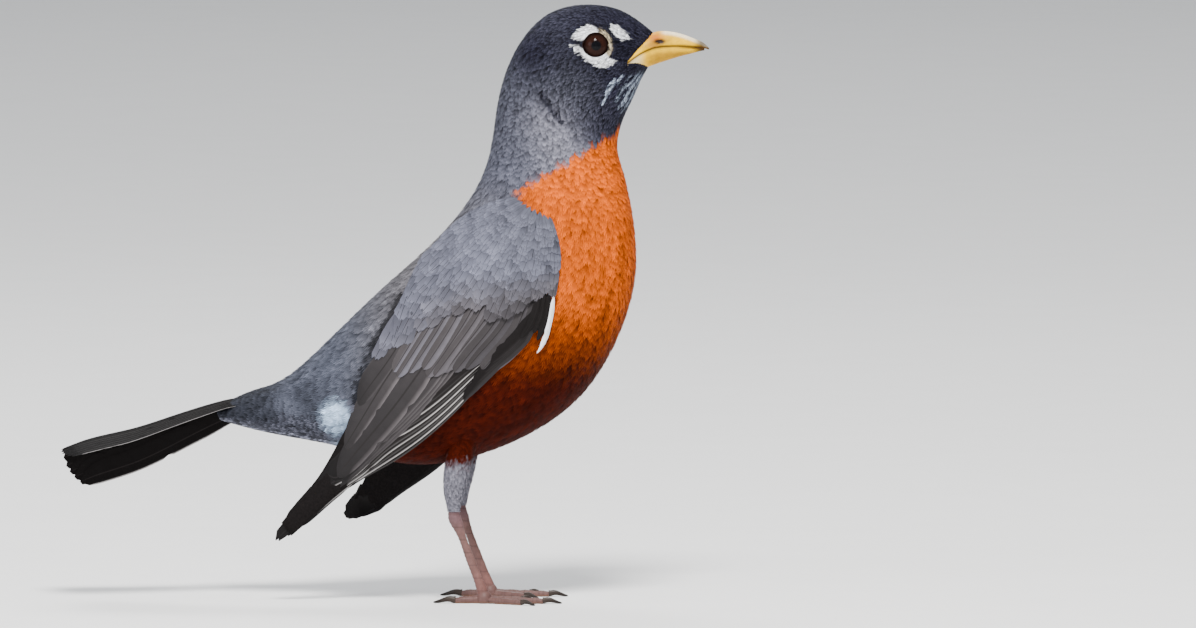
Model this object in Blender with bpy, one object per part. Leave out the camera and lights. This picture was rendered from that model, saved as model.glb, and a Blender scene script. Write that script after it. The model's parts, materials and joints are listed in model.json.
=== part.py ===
"""American robin, standing, life size: a still display model in solid pieces.

The bird faces +X, its left side is +Y and +Z is up. Lengths are in millimetres until a mesh is
made. The body is one smooth loft from the bill to the root of the tail, parted with thin cuts;
the wings, tail, legs, toes, claws, bill and eyes are pieces of their own that nest against it.
"""

import math

import bmesh
import bpy
import numpy as np
from mathutils import Vector

MM = 0.001
GAP = 0.3  # clearance between neighbouring pieces
SHARP = math.radians(40)  # edges that turn by more than this are shaded sharp
ORIGIN = Vector((1.6, 3.4, 0.0))  # the middle of the bird's box, which becomes x = y = 0

# Colours are linear RGB, each with a roughness.
FINISHES = {
    "crown_black": ((0.018, 0.018, 0.024), 0.60),
    "slate": ((0.085, 0.085, 0.095), 0.65),
    "breast_orange": ((0.55, 0.13, 0.02), 0.70),
    "rump_grey": ((0.12, 0.12, 0.135), 0.65),
    "wing_brown": ((0.060, 0.052, 0.050), 0.55),
    "tail_black": ((0.022, 0.018, 0.018), 0.50),
    "bill_yellow": ((0.80, 0.46, 0.05), 0.30),
    "eye_brown": ((0.020, 0.010, 0.007), 0.05),
    "leg_brown": ((0.24, 0.13, 0.10), 0.50),
    "claw_horn": ((0.05, 0.04, 0.035), 0.35),
}

# The body's outline: at each station the points (x, z) on the back and on the underside, the
# half width, and how much the widest level sits above (+) or below (-) the middle.
BODY_STATIONS = {
    "bill_base": ((91.0, 187.6), (89.3, 177.4), 3.9, 0.00),
    "lores": ((86.0, 191.6), (86.5, 172.6), 6.3, -0.05),
    "forehead": ((79.0, 195.6), (83.8, 166.4), 9.6, -0.08),
    "crown": ((68.5, 197.2), (81.0, 160.6), 12.3, -0.10),
    "hind_crown": ((56.0, 194.2), (79.2, 155.2), 13.2, -0.08),
    "nape": ((46.8, 185.0), (78.6, 151.0), 13.6, -0.02),
    "upper_neck": ((41.0, 172.5), (79.0, 146.8), 14.4, 0.00),
    "mid_neck": ((38.4, 160.0), (80.8, 140.8), 16.2, 0.00),
    "lower_neck": ((36.2, 147.0), (82.8, 132.5), 19.6, 0.00),
    "shoulder": ((30.0, 133.0), (84.6, 120.0), 24.2, -0.03),
    "upper_back": ((17.8, 118.2), (84.4, 105.5), 27.4, -0.06),
    "mid_back": ((2.2, 104.0), (79.2, 88.0), 28.4, -0.10),
    "lower_back": ((-11.2, 91.4), (66.5, 67.8), 26.6, -0.12),
    "loins": ((-22.0, 81.0), (40.0, 51.0), 22.6, -0.12),
    "vent": ((-31.0, 73.4), (8.0, 45.8), 17.2, -0.08),
    "rump": ((-37.4, 70.2), (-13.0, 51.2), 13.4, 0.00),
    "coverts": ((-42.4, 68.6), (-27.5, 53.8), 11.6, 0.05),
    "tail_root": ((-47.2, 66.6), (-39.5, 56.0), 10.4, 0.05),
    "coverts_tip": ((-54.0, 63.2), (-52.0, 59.2), 6.2, 0.00),
}
BODY_PIECES = {
    "head": ("bill_base", "upper_neck", 13, "crown_black"),
    "neck": ("upper_neck", "shoulder", 8, "slate"),
    "trunk": ("shoulder", "vent", 14, "breast_orange"),
    "rump": ("vent", "coverts_tip", 8, "rump_grey"),
}
BODY_SIDES = 28
FULLNESS = 0.90  # under 1 squares the body's sections a little, as plumage does

# The right wing, folded but drooping below the tail. At each station: its points (x, z) on the
# upper and the lower edge, how far out those lie, how much the middle bulges, and the thickness.
WING_STATIONS = {
    "front": ((47.0, 135.0), (58.2, 128.7), 21.6, 25.0, 0.9, 1.4),
    "shoulder": ((33.6, 129.6), (61.0, 116.5), 15.4, 28.0, 5.0, 3.2),
    "scapulars": ((22.8, 120.8), (58.3, 100.5), 12.0, 29.3, 8.2, 4.0),
    "wrist": ((16.0, 113.0), (53.0, 89.0), 13.4, 29.4, 8.0, 4.0),
    "coverts": ((10.4, 101.4), (42.5, 79.5), 19.6, 28.6, 4.6, 3.6),
    "secondaries": ((4.0, 90.0), (31.4, 68.4), 20.6, 26.8, 3.6, 3.2),
    "tertials": ((-1.5, 78.5), (16.7, 54.7), 21.2, 24.6, 2.4, 2.8),
    "tertial_tips": ((-5.5, 68.5), (3.6, 45.6), 21.2, 22.8, 1.7, 2.4),
    "primaries": ((-12.6, 53.9), (-8.0, 38.5), 20.4, 21.4, 1.2, 1.9),
    "taper": ((-20.2, 40.8), (-17.1, 31.4), 19.2, 20.0, 0.9, 1.5),
    "stagger": ((-28.8, 30.2), (-24.7, 24.5), 17.8, 18.3, 0.5, 1.1),
    "tip": ((-34.8, 22.2), (-31.8, 18.4), 16.8, 17.0, 0.2, 0.8),
}
WING_EDGE = 0.5  # least thickness, at the tip's edges
WING_EDGE_SHARE = 0.3  # how much of the middle's further thickness the edges have
WING_PARTING = 0.62  # the level where the primaries' edges part from the secondaries
WING_PARTING_GAP = 0.008  # half the gap there, as a share of the wing's width
WING_ROW_GAP = 0.25  # half the gap between one group of feathers and the next
WING_ROWS, WING_COLUMNS = 18, 8
COVERTS_END, SECONDARIES_END = "secondaries", "primaries"
BED_REACH = 30.0  # how far out the body is cleared for a wing
BED_WIDTH = 1.03  # width of the cleared bed, of the wing's
BED_ROWS, BED_COLUMNS = 18, 12

# The left wing hangs lower and further out from its shoulder, with its tip folded further in.
LEFT_WING_HINGE = Vector((48.0, 24.0, 128.0))
LEFT_WING_HANGS_BELOW = 75.0  # from this far under the hinge it has its whole swing and droop
LEFT_WING_SWING = math.radians(9.0)
LEFT_WING_DROOP = math.radians(4.5)
LEFT_WING_SHIFT = Vector((0.0, 0.0, -7.0))
LEFT_WING_FOLDED_FROM, LEFT_WING_FOLDED_TO = 108.0, 0.32

# The tail's middle line, root to tip, as (x, z), and its fan.
TAIL_LINE = (
    (-36.0, 65.2), (-46.5, 66.6), (-54.5, 65.0), (-69.0, 60.4), (-82.0, 56.2), (-97.5, 52.4),
    (-106.0, 49.2),
)
TAIL_ROOT_HALF, TAIL_TIP_HALF = 10.0, 22.5
TAIL_FLARE = 0.85  # under 1 widens the fan sooner
TAIL_CAMBER = math.radians(28.5)  # each half slopes down from the middle line
TAIL_ROLL = math.radians(21.0)  # the whole fan leans over to the left
TAIL_CREST = 0.3  # the share of each half over which the slope sets in
TAIL_CREST_SLOPE = 0.4  # how much of the slope there is right at the middle line
TAIL_THICKNESS = 1.3
TAIL_EDGE_THICKNESS = 0.6
TAIL_FEATHERS = 12
TAIL_ROWS = 6
TAIL_ROUNDING = 6.5  # the outer feathers end this much short of the middle ones
TAIL_SCALLOP = 1.6  # depth of the notches between feather tips

# The bill: x, height of the mouth line, of the culmen, of the underside, and half width.
BILL_STATIONS = (
    (82.6, 178.2, 181.0, 176.2, 8.9),
    (86.8, 181.2, 185.6, 176.1, 6.7),
    (91.3, 183.1, 188.2, 177.5, 4.9),
    (95.5, 183.6, 188.4, 178.9, 3.9),
    (100.1, 183.6, 187.5, 180.3, 3.0),
    (104.7, 183.2, 185.8, 181.5, 1.95),
    (107.6, 182.8, 184.3, 182.1, 1.0),
)
UPPER_TIP = (109.2, 182.2, 182.9, 0.35)  # x, lowest, highest, half width
BILL_ROWS, BILL_SIDES = 8, 6
BILL_SQUARENESS = 0.88
BILL_FLAT = 0.9  # width of a mandible's flat inner face, of its arch

EYE_PLACE = (71.9, 184.1)
EYE_RADIUS = 5.0
EYE_OUT = 7.6  # how far the eye's centre lies from the middle plane
EYE_RINGS, EYE_SIDES = 8, 14

# A leg at y = 0: (x, z), fore and aft radius, and the side radius as a share of it.
LEG_SPACING = 13.0
THIGH = (
    ((29.5, 57.0), 5.4), ((27.4, 48.5), 4.5), ((26.2, 41.0), 4.1), ((25.6, 35.5), 3.2),
    ((25.6, 30.4), 2.1),
)
TARSUS = (
    ((25.6, 30.0), 1.9), ((26.0, 27.6), 2.2), ((27.4, 24.0), 1.65), ((30.9, 14.8), 1.5),
    ((34.2, 6.4), 1.7), ((35.2, 4.0), 1.9),
)
THIGH_FLATNESS, TARSUS_FLATNESS = 0.85, 0.78
THIGH_SIDES, TARSUS_SIDES, LEG_RINGS = 14, 10, 8
BELLY_RINGS = 20  # rings of the belly that the thighs are cut along
FOOT = (35.6, 0.0)
FOOT_BALL = ((3.7, 1.8), (2.6, 2.5), (1.2, 2.6), (0.0, 1.9))  # height and radius
FOOT_SIDES = 16
# Toes, innermost round to the back one: heading outwards from +X, length, joints, radius, claw.
TOES = {
    "inner": (-27.0, 13.5, 2, 1.25, 5.0),
    "middle": (2.0, 19.5, 3, 1.35, 6.0),
    "outer": (28.0, 14.5, 3, 1.20, 5.0),
    "hind": (176.0, 9.5, 1, 1.45, 7.0),
}
TOE_SIDES, TOE_RINGS_EACH = 7, 3
TOE_TAPER = 0.28  # how much slimmer a toe is at its end
TOE_WAIST, TOE_PAD = 0.92, 0.14  # its thickness between the pads, and what a pad adds
TOE_HEIGHT = 0.86  # height of its middle over the floor at a pad, of its radius
TOE_ARCH = 0.30  # how far it lifts between two pads
CLAW_ROOT = 0.62  # a claw's radius at its root, of its toe's
CLAW_POINT = 0.25  # radius at its blunt point
CLAW_TAPER = 0.7
CLAW_DEPTH = 1.25  # height of its section, of the width
CLAW_START, CLAW_RISE, CLAW_HOOK = 0.95, 0.9, 0.55  # its middle: where from, up, and down again
CLAW_SIDES, CLAW_RINGS = 6, 5

# Swellings and hollows of the head's sides: place (x, z), radius, and push outwards.
FACE_FORMS = {
    "eye_hollow": ((72.0, 184.0), 5.0, -0.9),
    "brow": ((71.0, 190.0), 4.5, 0.7),
    "cheek": ((66.0, 172.5), 8.0, 0.8),
    "loral_groove": ((80.5, 185.0), 4.0, -0.7),
}


class Spline:
    """A natural cubic spline through rows of values, one row for each knot."""

    def __init__(self, knots, rows):
        self.knots = np.asarray(knots, float)
        self.rows = np.asarray(rows, float).reshape(len(self.knots), -1)
        step = np.diff(self.knots)
        count = len(self.knots)
        matrix = np.eye(count)
        target = np.zeros_like(self.rows)
        for i in range(1, count - 1):
            matrix[i, i - 1 : i + 2] = step[i - 1], 2 * (step[i - 1] + step[i]), step[i]
            slope_after = (self.rows[i + 1] - self.rows[i]) / step[i]
            slope_before = (self.rows[i] - self.rows[i - 1]) / step[i - 1]
            target[i] = 6 * (slope_after - slope_before)
        self.bends = np.linalg.solve(matrix, target)

    def __call__(self, t):
        i = int(np.clip(np.searchsorted(self.knots, t) - 1, 0, len(self.knots) - 2))
        step = self.knots[i + 1] - self.knots[i]
        a = (self.knots[i + 1] - t) / step
        b = (t - self.knots[i]) / step
        bend = (a**3 - a) * self.bends[i] + (b**3 - b) * self.bends[i + 1]
        return a * self.rows[i] + b * self.rows[i + 1] + bend * step * step / 6


def spline_through(stations):
    """Numbers in each station, flattened, as one spline; its knots follow the first point's path."""
    rows = [np.hstack([np.ravel(value) for value in station]) for station in stations]
    paths = np.array([row[:4] for row in rows])
    steps = np.linalg.norm(np.diff(paths, axis=0), axis=1)
    knots = np.concatenate([[0.0], np.cumsum(steps)])
    return Spline(knots, rows)


BODY = spline_through(BODY_STATIONS.values())
BODY_KNOTS = dict(zip(BODY_STATIONS, BODY.knots))


def face_push(x, z):
    """How far the head's swellings and hollows move its side out, in millimetres."""
    total = 0.0
    for place, radius, push in FACE_FORMS.values():
        away = (x - place[0]) ** 2 + (z - place[1]) ** 2
        total += push * math.exp(-away / radius**2)
    return total


def body_point(t, angle, grow=0.0):
    """A point on the body at spline place t; angle 0 is the back and pi the underside."""
    back_x, back_z, under_x, under_z, half_width, egg = BODY(t)
    across = Vector((back_x - under_x, 0.0, back_z - under_z)) / 2
    middle = Vector((back_x + under_x, 0.0, back_z + under_z)) / 2
    up, side = math.cos(angle), math.sin(angle)
    point = middle + across * up * (1 + grow / across.length)
    out = math.copysign(abs(side) ** FULLNESS, side)
    bulge = face_push(point.x, point.z) * side
    point.y = -((half_width + grow) * out * (1 + egg * up) + bulge)
    return point


# ---------------------------------------------------------------- making meshes


def finish_material(name):
    """The Principled material of that finish, made once."""
    material = bpy.data.materials.get(name)
    if material is None:
        colour, roughness = FINISHES[name]
        material = bpy.data.materials.new(name)
        material.use_nodes = True
        surface = material.node_tree.nodes["Principled BSDF"]
        surface.inputs["Base Color"].default_value = (*colour, 1.0)
        surface.inputs["Roughness"].default_value = roughness
        material.diffuse_color = (*colour, 1.0)
    return material


def make_object(name, points, faces, finish, cutter=False):
    """One mesh object from points in millimetres."""
    mesh = bpy.data.meshes.new(name)
    mesh.from_pydata([(Vector(p) - ORIGIN) * MM for p in points], [], faces)
    if not cutter:
        mesh.materials.append(finish_material(finish))
    solid = bmesh.new()
    solid.from_mesh(mesh)
    bmesh.ops.recalc_face_normals(solid, faces=solid.faces)
    if solid.calc_volume(signed=True) < 0:
        bmesh.ops.reverse_faces(solid, faces=solid.faces)
    solid.to_mesh(mesh)
    solid.free()
    mesh.shade_smooth()
    mesh.set_sharp_from_angle(angle=SHARP)
    thing = bpy.data.objects.new(name, mesh)
    bpy.context.scene.collection.objects.link(thing)
    if cutter:
        thing.hide_render = True
        thing.display_type = "WIRE"
    return thing


def skin_rings(rings):
    """Points and faces of a tube through rings of equal length, its ends fanned shut."""
    sides = len(rings[0])
    points = [p for ring in rings for p in ring]
    faces = []
    for row in range(len(rings) - 1):
        for i in range(sides):
            j = (i + 1) % sides
            low, high = row * sides, (row + 1) * sides
            faces.append((low + i, low + j, high + j, high + i))
    for row, order in ((0, 1), (len(rings) - 1, -1)):
        hub = len(points)
        points.append(sum((Vector(p) for p in rings[row]), Vector()) / sides)
        for i in range(sides):
            j = (i + 1) % sides
            faces.append((hub, row * sides + i, row * sides + j)[::order])
    return points, faces


def cut(thing, *cutters):
    """Takes each cutter out of a piece with a Boolean modifier."""
    for cutter in cutters:
        boolean = thing.modifiers.new(cutter.name, "BOOLEAN")
        boolean.operation = "DIFFERENCE"
        boolean.object = cutter


# ---------------------------------------------------------------- body


def body_rings(start, end, count, grow=0.0):
    """Rings of the body loft between two spline places."""
    angles = [2 * math.pi * i / BODY_SIDES for i in range(BODY_SIDES)]
    return [
        [body_point(start + (end - start) * row / count, angle, grow) for angle in angles]
        for row in range(count + 1)
    ]


def make_body():
    """Head, neck, trunk and rump: stretches of one loft with a thin cut between them."""
    made = {}
    for name, (first, last, count, finish) in BODY_PIECES.items():
        start, end = BODY_KNOTS[first], BODY_KNOTS[last]
        if first != "bill_base":
            start += GAP
        rings = body_rings(start, end, count)
        made[name] = make_object(name, *skin_rings(rings), finish)
    return made


# ---------------------------------------------------------------- wings

WING = spline_through(WING_STATIONS.values())
WING_KNOTS = dict(zip(WING_STATIONS, WING.knots))


def wing_point(t, level, depth=0.0):
    """A point of the right wing; level 0 is the upper edge, 1 the lower, depth 0 to 1 inwards."""
    upper_x, upper_z, lower_x, lower_z, upper_y, lower_y, bulge, thick = WING(t)
    arch = 4 * level * (1 - level)
    out = upper_y + (lower_y - upper_y) * level + bulge * arch
    thick = WING_EDGE + (thick - WING_EDGE) * (WING_EDGE_SHARE + (1 - WING_EDGE_SHARE) * arch)
    return Vector((
        upper_x + (lower_x - upper_x) * level,
        -(out - thick * depth),
        upper_z + (lower_z - upper_z) * level,
    ))


def left_wing(point):
    """The right wing's point mirrored to the left, let down, swung out and folded further."""
    arm = Vector((point.x, -point.y, point.z)) - LEFT_WING_HINGE
    reach = math.hypot(arm.x, arm.z)
    if reach > LEFT_WING_FOLDED_FROM:
        folded = LEFT_WING_FOLDED_FROM + (reach - LEFT_WING_FOLDED_FROM) * LEFT_WING_FOLDED_TO
        arm.x, arm.z, reach = arm.x * folded / reach, arm.z * folded / reach, folded
    share = min(max(-arm.z / LEFT_WING_HANGS_BELOW, 0.0), 1.0)
    swing, droop = LEFT_WING_SWING * share, LEFT_WING_DROOP * share
    out = Vector((
        (arm.x * math.cos(droop) - arm.z * math.sin(droop)) * math.cos(swing),
        arm.y + reach * math.sin(swing),
        (arm.x * math.sin(droop) + arm.z * math.cos(droop)) * math.cos(swing),
    ))
    return LEFT_WING_HINGE + out + LEFT_WING_SHIFT * share


def doubled_lines(start, end, count, partings, half_gap):
    """Evenly spaced lines from start to end, with a pair of lines round each parting."""
    lines = [start + (end - start) * i / count for i in range(count + 1)]
    spacing = (end - start) / count
    for parting in partings:
        lines = [line for line in lines if abs(line - parting) > spacing * 0.4]
        lines += [parting - half_gap, parting + half_gap]
    return sorted(lines)


def make_plate(name, rows, columns, holds, place, finish, cutter=False):
    """A curved plate on a grid of lines: the cells that holds() accepts, outer and inner faces."""
    index, points, faces, rims = {}, [], [], {}

    def corner(row, column, side):
        key = (row, column, side)
        if key not in index:
            index[key] = len(points)
            points.append(place(rows[row], columns[column], side))
        return index[key]

    for row in range(len(rows) - 1):
        for column in range(len(columns) - 1):
            middle = (rows[row] + rows[row + 1]) / 2, (columns[column] + columns[column + 1]) / 2
            if not holds(*middle):
                continue
            loop = [(row, column), (row, column + 1), (row + 1, column + 1), (row + 1, column)]
            faces.append([corner(*c, 0) for c in loop])
            faces.append([corner(*c, 1) for c in reversed(loop)])
            for a, b in zip(loop, loop[1:] + loop[:1]):
                rims[(a, b)] = rims.get((b, a), 0) + 1
                if (b, a) in rims:
                    del rims[(a, b)], rims[(b, a)]
    for a, b in rims:
        faces.append([corner(*b, 0), corner(*a, 0), corner(*a, 1), corner(*b, 1)])
    return make_object(name, points, faces, finish, cutter)


def make_wing(side):
    """Shoulder coverts, secondaries and primaries of one wing, and a cutter for its bed."""
    pose = (lambda point: point) if side == "right" else left_wing
    coverts_end, secondaries_end = WING_KNOTS[COVERTS_END], WING_KNOTS[SECONDARIES_END]
    rows = doubled_lines(
        WING.knots[0], WING.knots[-1], WING_ROWS, (coverts_end, secondaries_end), WING_ROW_GAP
    )
    columns = doubled_lines(0.0, 1.0, WING_COLUMNS, (WING_PARTING,), WING_PARTING_GAP)
    feathers = {
        "shoulder": (lambda t, level: t < coverts_end - WING_ROW_GAP, "slate"),
        "secondaries": (
            lambda t, level: coverts_end + WING_ROW_GAP < t < secondaries_end - WING_ROW_GAP
            and level < WING_PARTING - WING_PARTING_GAP,
            "wing_brown",
        ),
        "primaries": (
            lambda t, level: t > secondaries_end + WING_ROW_GAP
            or (t > coverts_end + WING_ROW_GAP and level > WING_PARTING + WING_PARTING_GAP),
            "wing_brown",
        ),
    }
    for group, (holds, finish) in feathers.items():
        make_plate(
            f"wing_{side}_{group}", rows, columns, holds,
            lambda t, level, inner: pose(wing_point(t, level, inner)), finish,
        )
    return make_wing_bed(side, pose)


def make_wing_bed(side, pose):
    """What the body gives up for a wing: all that lies outside the wing's inner face."""
    start, end = WING.knots[0], WING_KNOTS["primaries"]
    rows = [start + (end - start) * i / BED_ROWS for i in range(BED_ROWS + 1)]
    columns = [0.5 + BED_WIDTH * (i / BED_COLUMNS - 0.5) for i in range(BED_COLUMNS + 1)]

    def place(t, level, inner):
        face = wing_point(t, level, 1.0)
        face.y += GAP if inner else -BED_REACH
        return pose(face)

    return make_plate(f"bed_{side}", rows, columns, lambda *_: True, place, None, cutter=True)


# ---------------------------------------------------------------- tail

TAIL_STEPS = np.linalg.norm(np.diff(np.array(TAIL_LINE), axis=0), axis=1)
TAIL = Spline(np.concatenate([[0.0], np.cumsum(TAIL_STEPS)]), TAIL_LINE)
TAIL_LENGTH = TAIL.knots[-1]


def tail_point(share, across, depth=0.0, grow=0.0):
    """A point of the tail: share of its length, across from -1 (right) to 1 (left), and depth."""
    feather = (across + 1) / 2 * TAIL_FEATHERS
    notch = abs(feather - math.floor(feather) - 0.5) * 2
    short = TAIL_ROUNDING * across**2 + TAIL_SCALLOP * notch**3
    x, z = TAIL(share * (TAIL_LENGTH - short * share**2))
    half = TAIL_ROOT_HALF + (TAIL_TIP_HALF - TAIL_ROOT_HALF) * share**TAIL_FLARE + grow
    slope = TAIL_CAMBER + math.copysign(TAIL_ROLL, across)
    slope *= min(1.0, TAIL_CREST_SLOPE + (1 - TAIL_CREST_SLOPE) * abs(across) / TAIL_CREST)
    thick = TAIL_THICKNESS + (TAIL_EDGE_THICKNESS - TAIL_THICKNESS) * max(abs(across), share**3)
    out = across * half
    top = z - abs(out) * math.sin(slope) + grow
    return Vector((x, out * math.cos(slope), top - (thick + 2 * grow) * depth))


def make_tail():
    """The fan of tail feathers, and a cutter for the pocket that holds its root."""
    columns = TAIL_FEATHERS * 2
    across = [-1 + 2 * i / columns for i in range(columns + 1)]
    rows = [i / TAIL_ROWS for i in range(TAIL_ROWS + 1)]
    make_plate("tail", rows, across, lambda *_: True, tail_point, "tail_black")

    def pocket(share, place, inner):
        point = tail_point(share, place, inner, GAP)
        point.x += GAP if share == 0 else 0.0
        return point

    return make_plate("pocket", rows, across[::2], lambda *_: True, pocket, None, cutter=True)


# ---------------------------------------------------------------- bill and eyes

BILL = Spline([row[0] for row in BILL_STATIONS], BILL_STATIONS)


def bill_arch(x, base, height, half, way):
    """An arch over the mouth line (way 1) or under it (way -1), from the right side to the left."""
    points = []
    for i in range(BILL_SIDES + 1):
        angle = math.pi * i / BILL_SIDES
        side = -math.copysign(abs(math.cos(angle)) ** BILL_SQUARENESS, math.cos(angle))
        lift = max(math.sin(angle), 0.0) ** BILL_SQUARENESS
        points.append(Vector((x, half * side, base + way * height * lift)))
    return points


def bill_rings(upper, lower, grow=0.0):
    """Rings from the gape to the tip round one mandible, or round both."""
    rings = []
    for row in range(BILL_ROWS + 1):
        x = BILL.knots[0] + (BILL.knots[-1] - BILL.knots[0]) * row / BILL_ROWS
        _, mouth, top, under, half = BILL(x)
        over = bill_arch(x, mouth + GAP / 2, top - mouth - GAP / 2 + grow, half + grow, 1)
        below = bill_arch(x, mouth - GAP / 2, mouth - under - GAP / 2 + grow, half + grow, -1)
        if not upper:
            over = [Vector((x, p.y * BILL_FLAT, mouth - GAP / 2)) for p in below[1:-1]]
        if not lower:
            below = [Vector((x, p.y * BILL_FLAT, mouth + GAP / 2)) for p in over[1:-1]]
        rings.append(over + below[::-1])
    if upper:
        x, low, high, half = UPPER_TIP
        ring = bill_arch(x, low, high - low, half, 1)
        ring += [Vector((x, point.y * BILL_FLAT, low)) for point in ring[-2:0:-1]]
        rings.append(ring)
    return rings


def make_bill():
    """Both mandibles, and the cutter for their seat in the head."""
    make_object("bill_upper", *skin_rings(bill_rings(True, False)), "bill_yellow")
    make_object("bill_lower", *skin_rings(bill_rings(False, True)), "bill_yellow")
    seat = skin_rings(bill_rings(True, True, GAP)[:-1])
    return make_object("bill_seat", *seat, None, cutter=True)


def make_ball(name, centre, radius, finish, cutter=False):
    """A sphere of quads, with its poles facing sideways."""
    centre = Vector(centre)
    turns = [2 * math.pi * i / EYE_SIDES for i in range(EYE_SIDES)]
    rings = []
    for row in range(1, EYE_RINGS):
        polar = math.pi * row / EYE_RINGS
        away, along = radius * math.sin(polar), radius * math.cos(polar)
        rings.append([
            centre + Vector((away * math.cos(turn), along, away * math.sin(turn))) for turn in turns
        ])
    points, faces = skin_rings(rings)
    pole = Vector((0, radius, 0))
    points[-2:] = centre + pole, centre - pole
    return make_object(name, points, faces, finish, cutter)


def make_eyes():
    """An eyeball on each side, and the sockets' cutters."""
    sockets = []
    for side, way in (("right", -1), ("left", 1)):
        centre = (EYE_PLACE[0], way * EYE_OUT, EYE_PLACE[1])
        make_ball(f"eye_{side}", centre, EYE_RADIUS, "eye_brown")
        socket = make_ball(f"socket_{side}", centre, EYE_RADIUS + GAP, None, cutter=True)
        sockets.append(socket)
    return sockets


# ---------------------------------------------------------------- legs and feet


def tube_rings(path, flatness, y, sides):
    """Level rings across a leg's line, in a smooth run through its stations."""
    line = spline_through([(place, place, radius) for place, radius in path])
    turns = [2 * math.pi * i / sides for i in range(sides)]
    rings = []
    for row in range(LEG_RINGS + 1):
        x, z, _, _, radius = line(line.knots[-1] * row / LEG_RINGS)
        deep = radius * flatness
        rings.append([
            Vector((x + radius * math.cos(turn), y + deep * math.sin(turn), z)) for turn in turns
        ])
    return rings


def toe_rings(root, heading, length, joints, radius):
    """A toe along the floor: pads under the joints touch it, the spans between arch clear."""
    along = Vector((math.cos(heading), math.sin(heading), 0))
    aside = Vector((-along.y, along.x, 0))
    turns = [2 * math.pi * i / TOE_SIDES for i in range(TOE_SIDES)]
    count = TOE_RINGS_EACH * (joints + 1)
    rings = []
    for row in range(count + 1):
        share = row / count
        pad = 0.5 + 0.5 * math.cos(2 * math.pi * share * (joints + 1) + math.pi)
        wide = radius * (1.0 - TOE_TAPER * share) * (TOE_WAIST + TOE_PAD * pad)
        centre = root + along * length * share
        centre.z = wide * TOE_HEIGHT + TOE_ARCH * (1 - pad) * (1 - share)
        ring = []
        for turn in turns:
            point = centre + aside * wide * math.cos(turn) + Vector((0, 0, wide * math.sin(turn)))
            point.z = max(point.z, 0.0)
            ring.append(point)
        rings.append(ring)
    return rings


def claw_rings(root, heading, length, radius):
    """A curved claw that rises from the toe's end and comes down to a blunt point."""
    along = Vector((math.cos(heading), math.sin(heading), 0))
    aside = Vector((-along.y, along.x, 0))
    turns = [2 * math.pi * i / CLAW_SIDES for i in range(CLAW_SIDES)]
    rings = []
    for row in range(CLAW_RINGS):
        share = row / (CLAW_RINGS - 1)
        wide = radius * (1 - share) ** CLAW_TAPER + CLAW_POINT * share
        tall = wide * CLAW_DEPTH
        centre = root + along * length * share
        lift = CLAW_RISE * math.sin(math.pi * share) * (1 - share) - radius * CLAW_HOOK * share**2
        centre.z = max(radius * CLAW_START + lift, tall)
        rings.append([
            centre + aside * wide * math.cos(turn) + Vector((0, 0, tall * math.sin(turn)))
            for turn in turns
        ])
    return rings


def make_foot(side, way):
    """The ball of the foot joined with its four toes, and a claw beyond each toe."""
    y = way * LEG_SPACING
    centre = Vector((FOOT[0], y, 0.0))
    turns = [2 * math.pi * i / FOOT_SIDES for i in range(FOOT_SIDES)]
    ball = [
        [
            centre + Vector((radius * math.cos(turn), radius * math.sin(turn), height))
            for turn in turns
        ]
        for height, radius in FOOT_BALL
    ]
    foot = make_object(f"foot_{side}", *skin_rings(ball), "leg_brown")
    for toe, (turn, length, joints, radius, claw) in TOES.items():
        heading = math.radians(turn) * way
        rings = toe_rings(centre, heading, length, joints, radius)
        helper = make_object(f"toe_{side}_{toe}", *skin_rings(rings), None, cutter=True)
        join = foot.modifiers.new(toe, "BOOLEAN")
        join.operation = "UNION"
        join.object = helper
        reach = Vector((math.cos(heading), math.sin(heading), 0)) * (length + GAP)
        rings = claw_rings(centre + reach, heading, claw, radius * CLAW_ROOT)
        make_object(f"claw_{side}_{toe}", *skin_rings(rings), "claw_horn")


def make_legs():
    """Feathered thighs, cut where they meet the belly, bare tarsi, and feet."""
    start, end = BODY_KNOTS["upper_back"], BODY_KNOTS["rump"]
    rings = body_rings(start, end, BELLY_RINGS, GAP)
    belly = make_object("belly_cutter", *skin_rings(rings), None, cutter=True)
    for side, way in (("right", -1), ("left", 1)):
        y = way * LEG_SPACING
        thigh = tube_rings(THIGH, THIGH_FLATNESS, y, THIGH_SIDES)
        cut(make_object(f"thigh_{side}", *skin_rings(thigh), "slate"), belly)
        tarsus = tube_rings(TARSUS, TARSUS_FLATNESS, y, TARSUS_SIDES)
        make_object(f"tarsus_{side}", *skin_rings(tarsus), "leg_brown")
        make_foot(side, way)


def main():
    for thing in list(bpy.data.objects):
        bpy.data.objects.remove(thing)
    body = make_body()
    beds = [make_wing(side) for side in ("right", "left")]
    cut(body["neck"], *beds)
    cut(body["trunk"], *beds)
    cut(body["rump"], *beds, make_tail())
    cut(body["head"], make_bill(), *make_eyes())
    make_legs()


if __name__ == "__main__":
    main()
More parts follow.
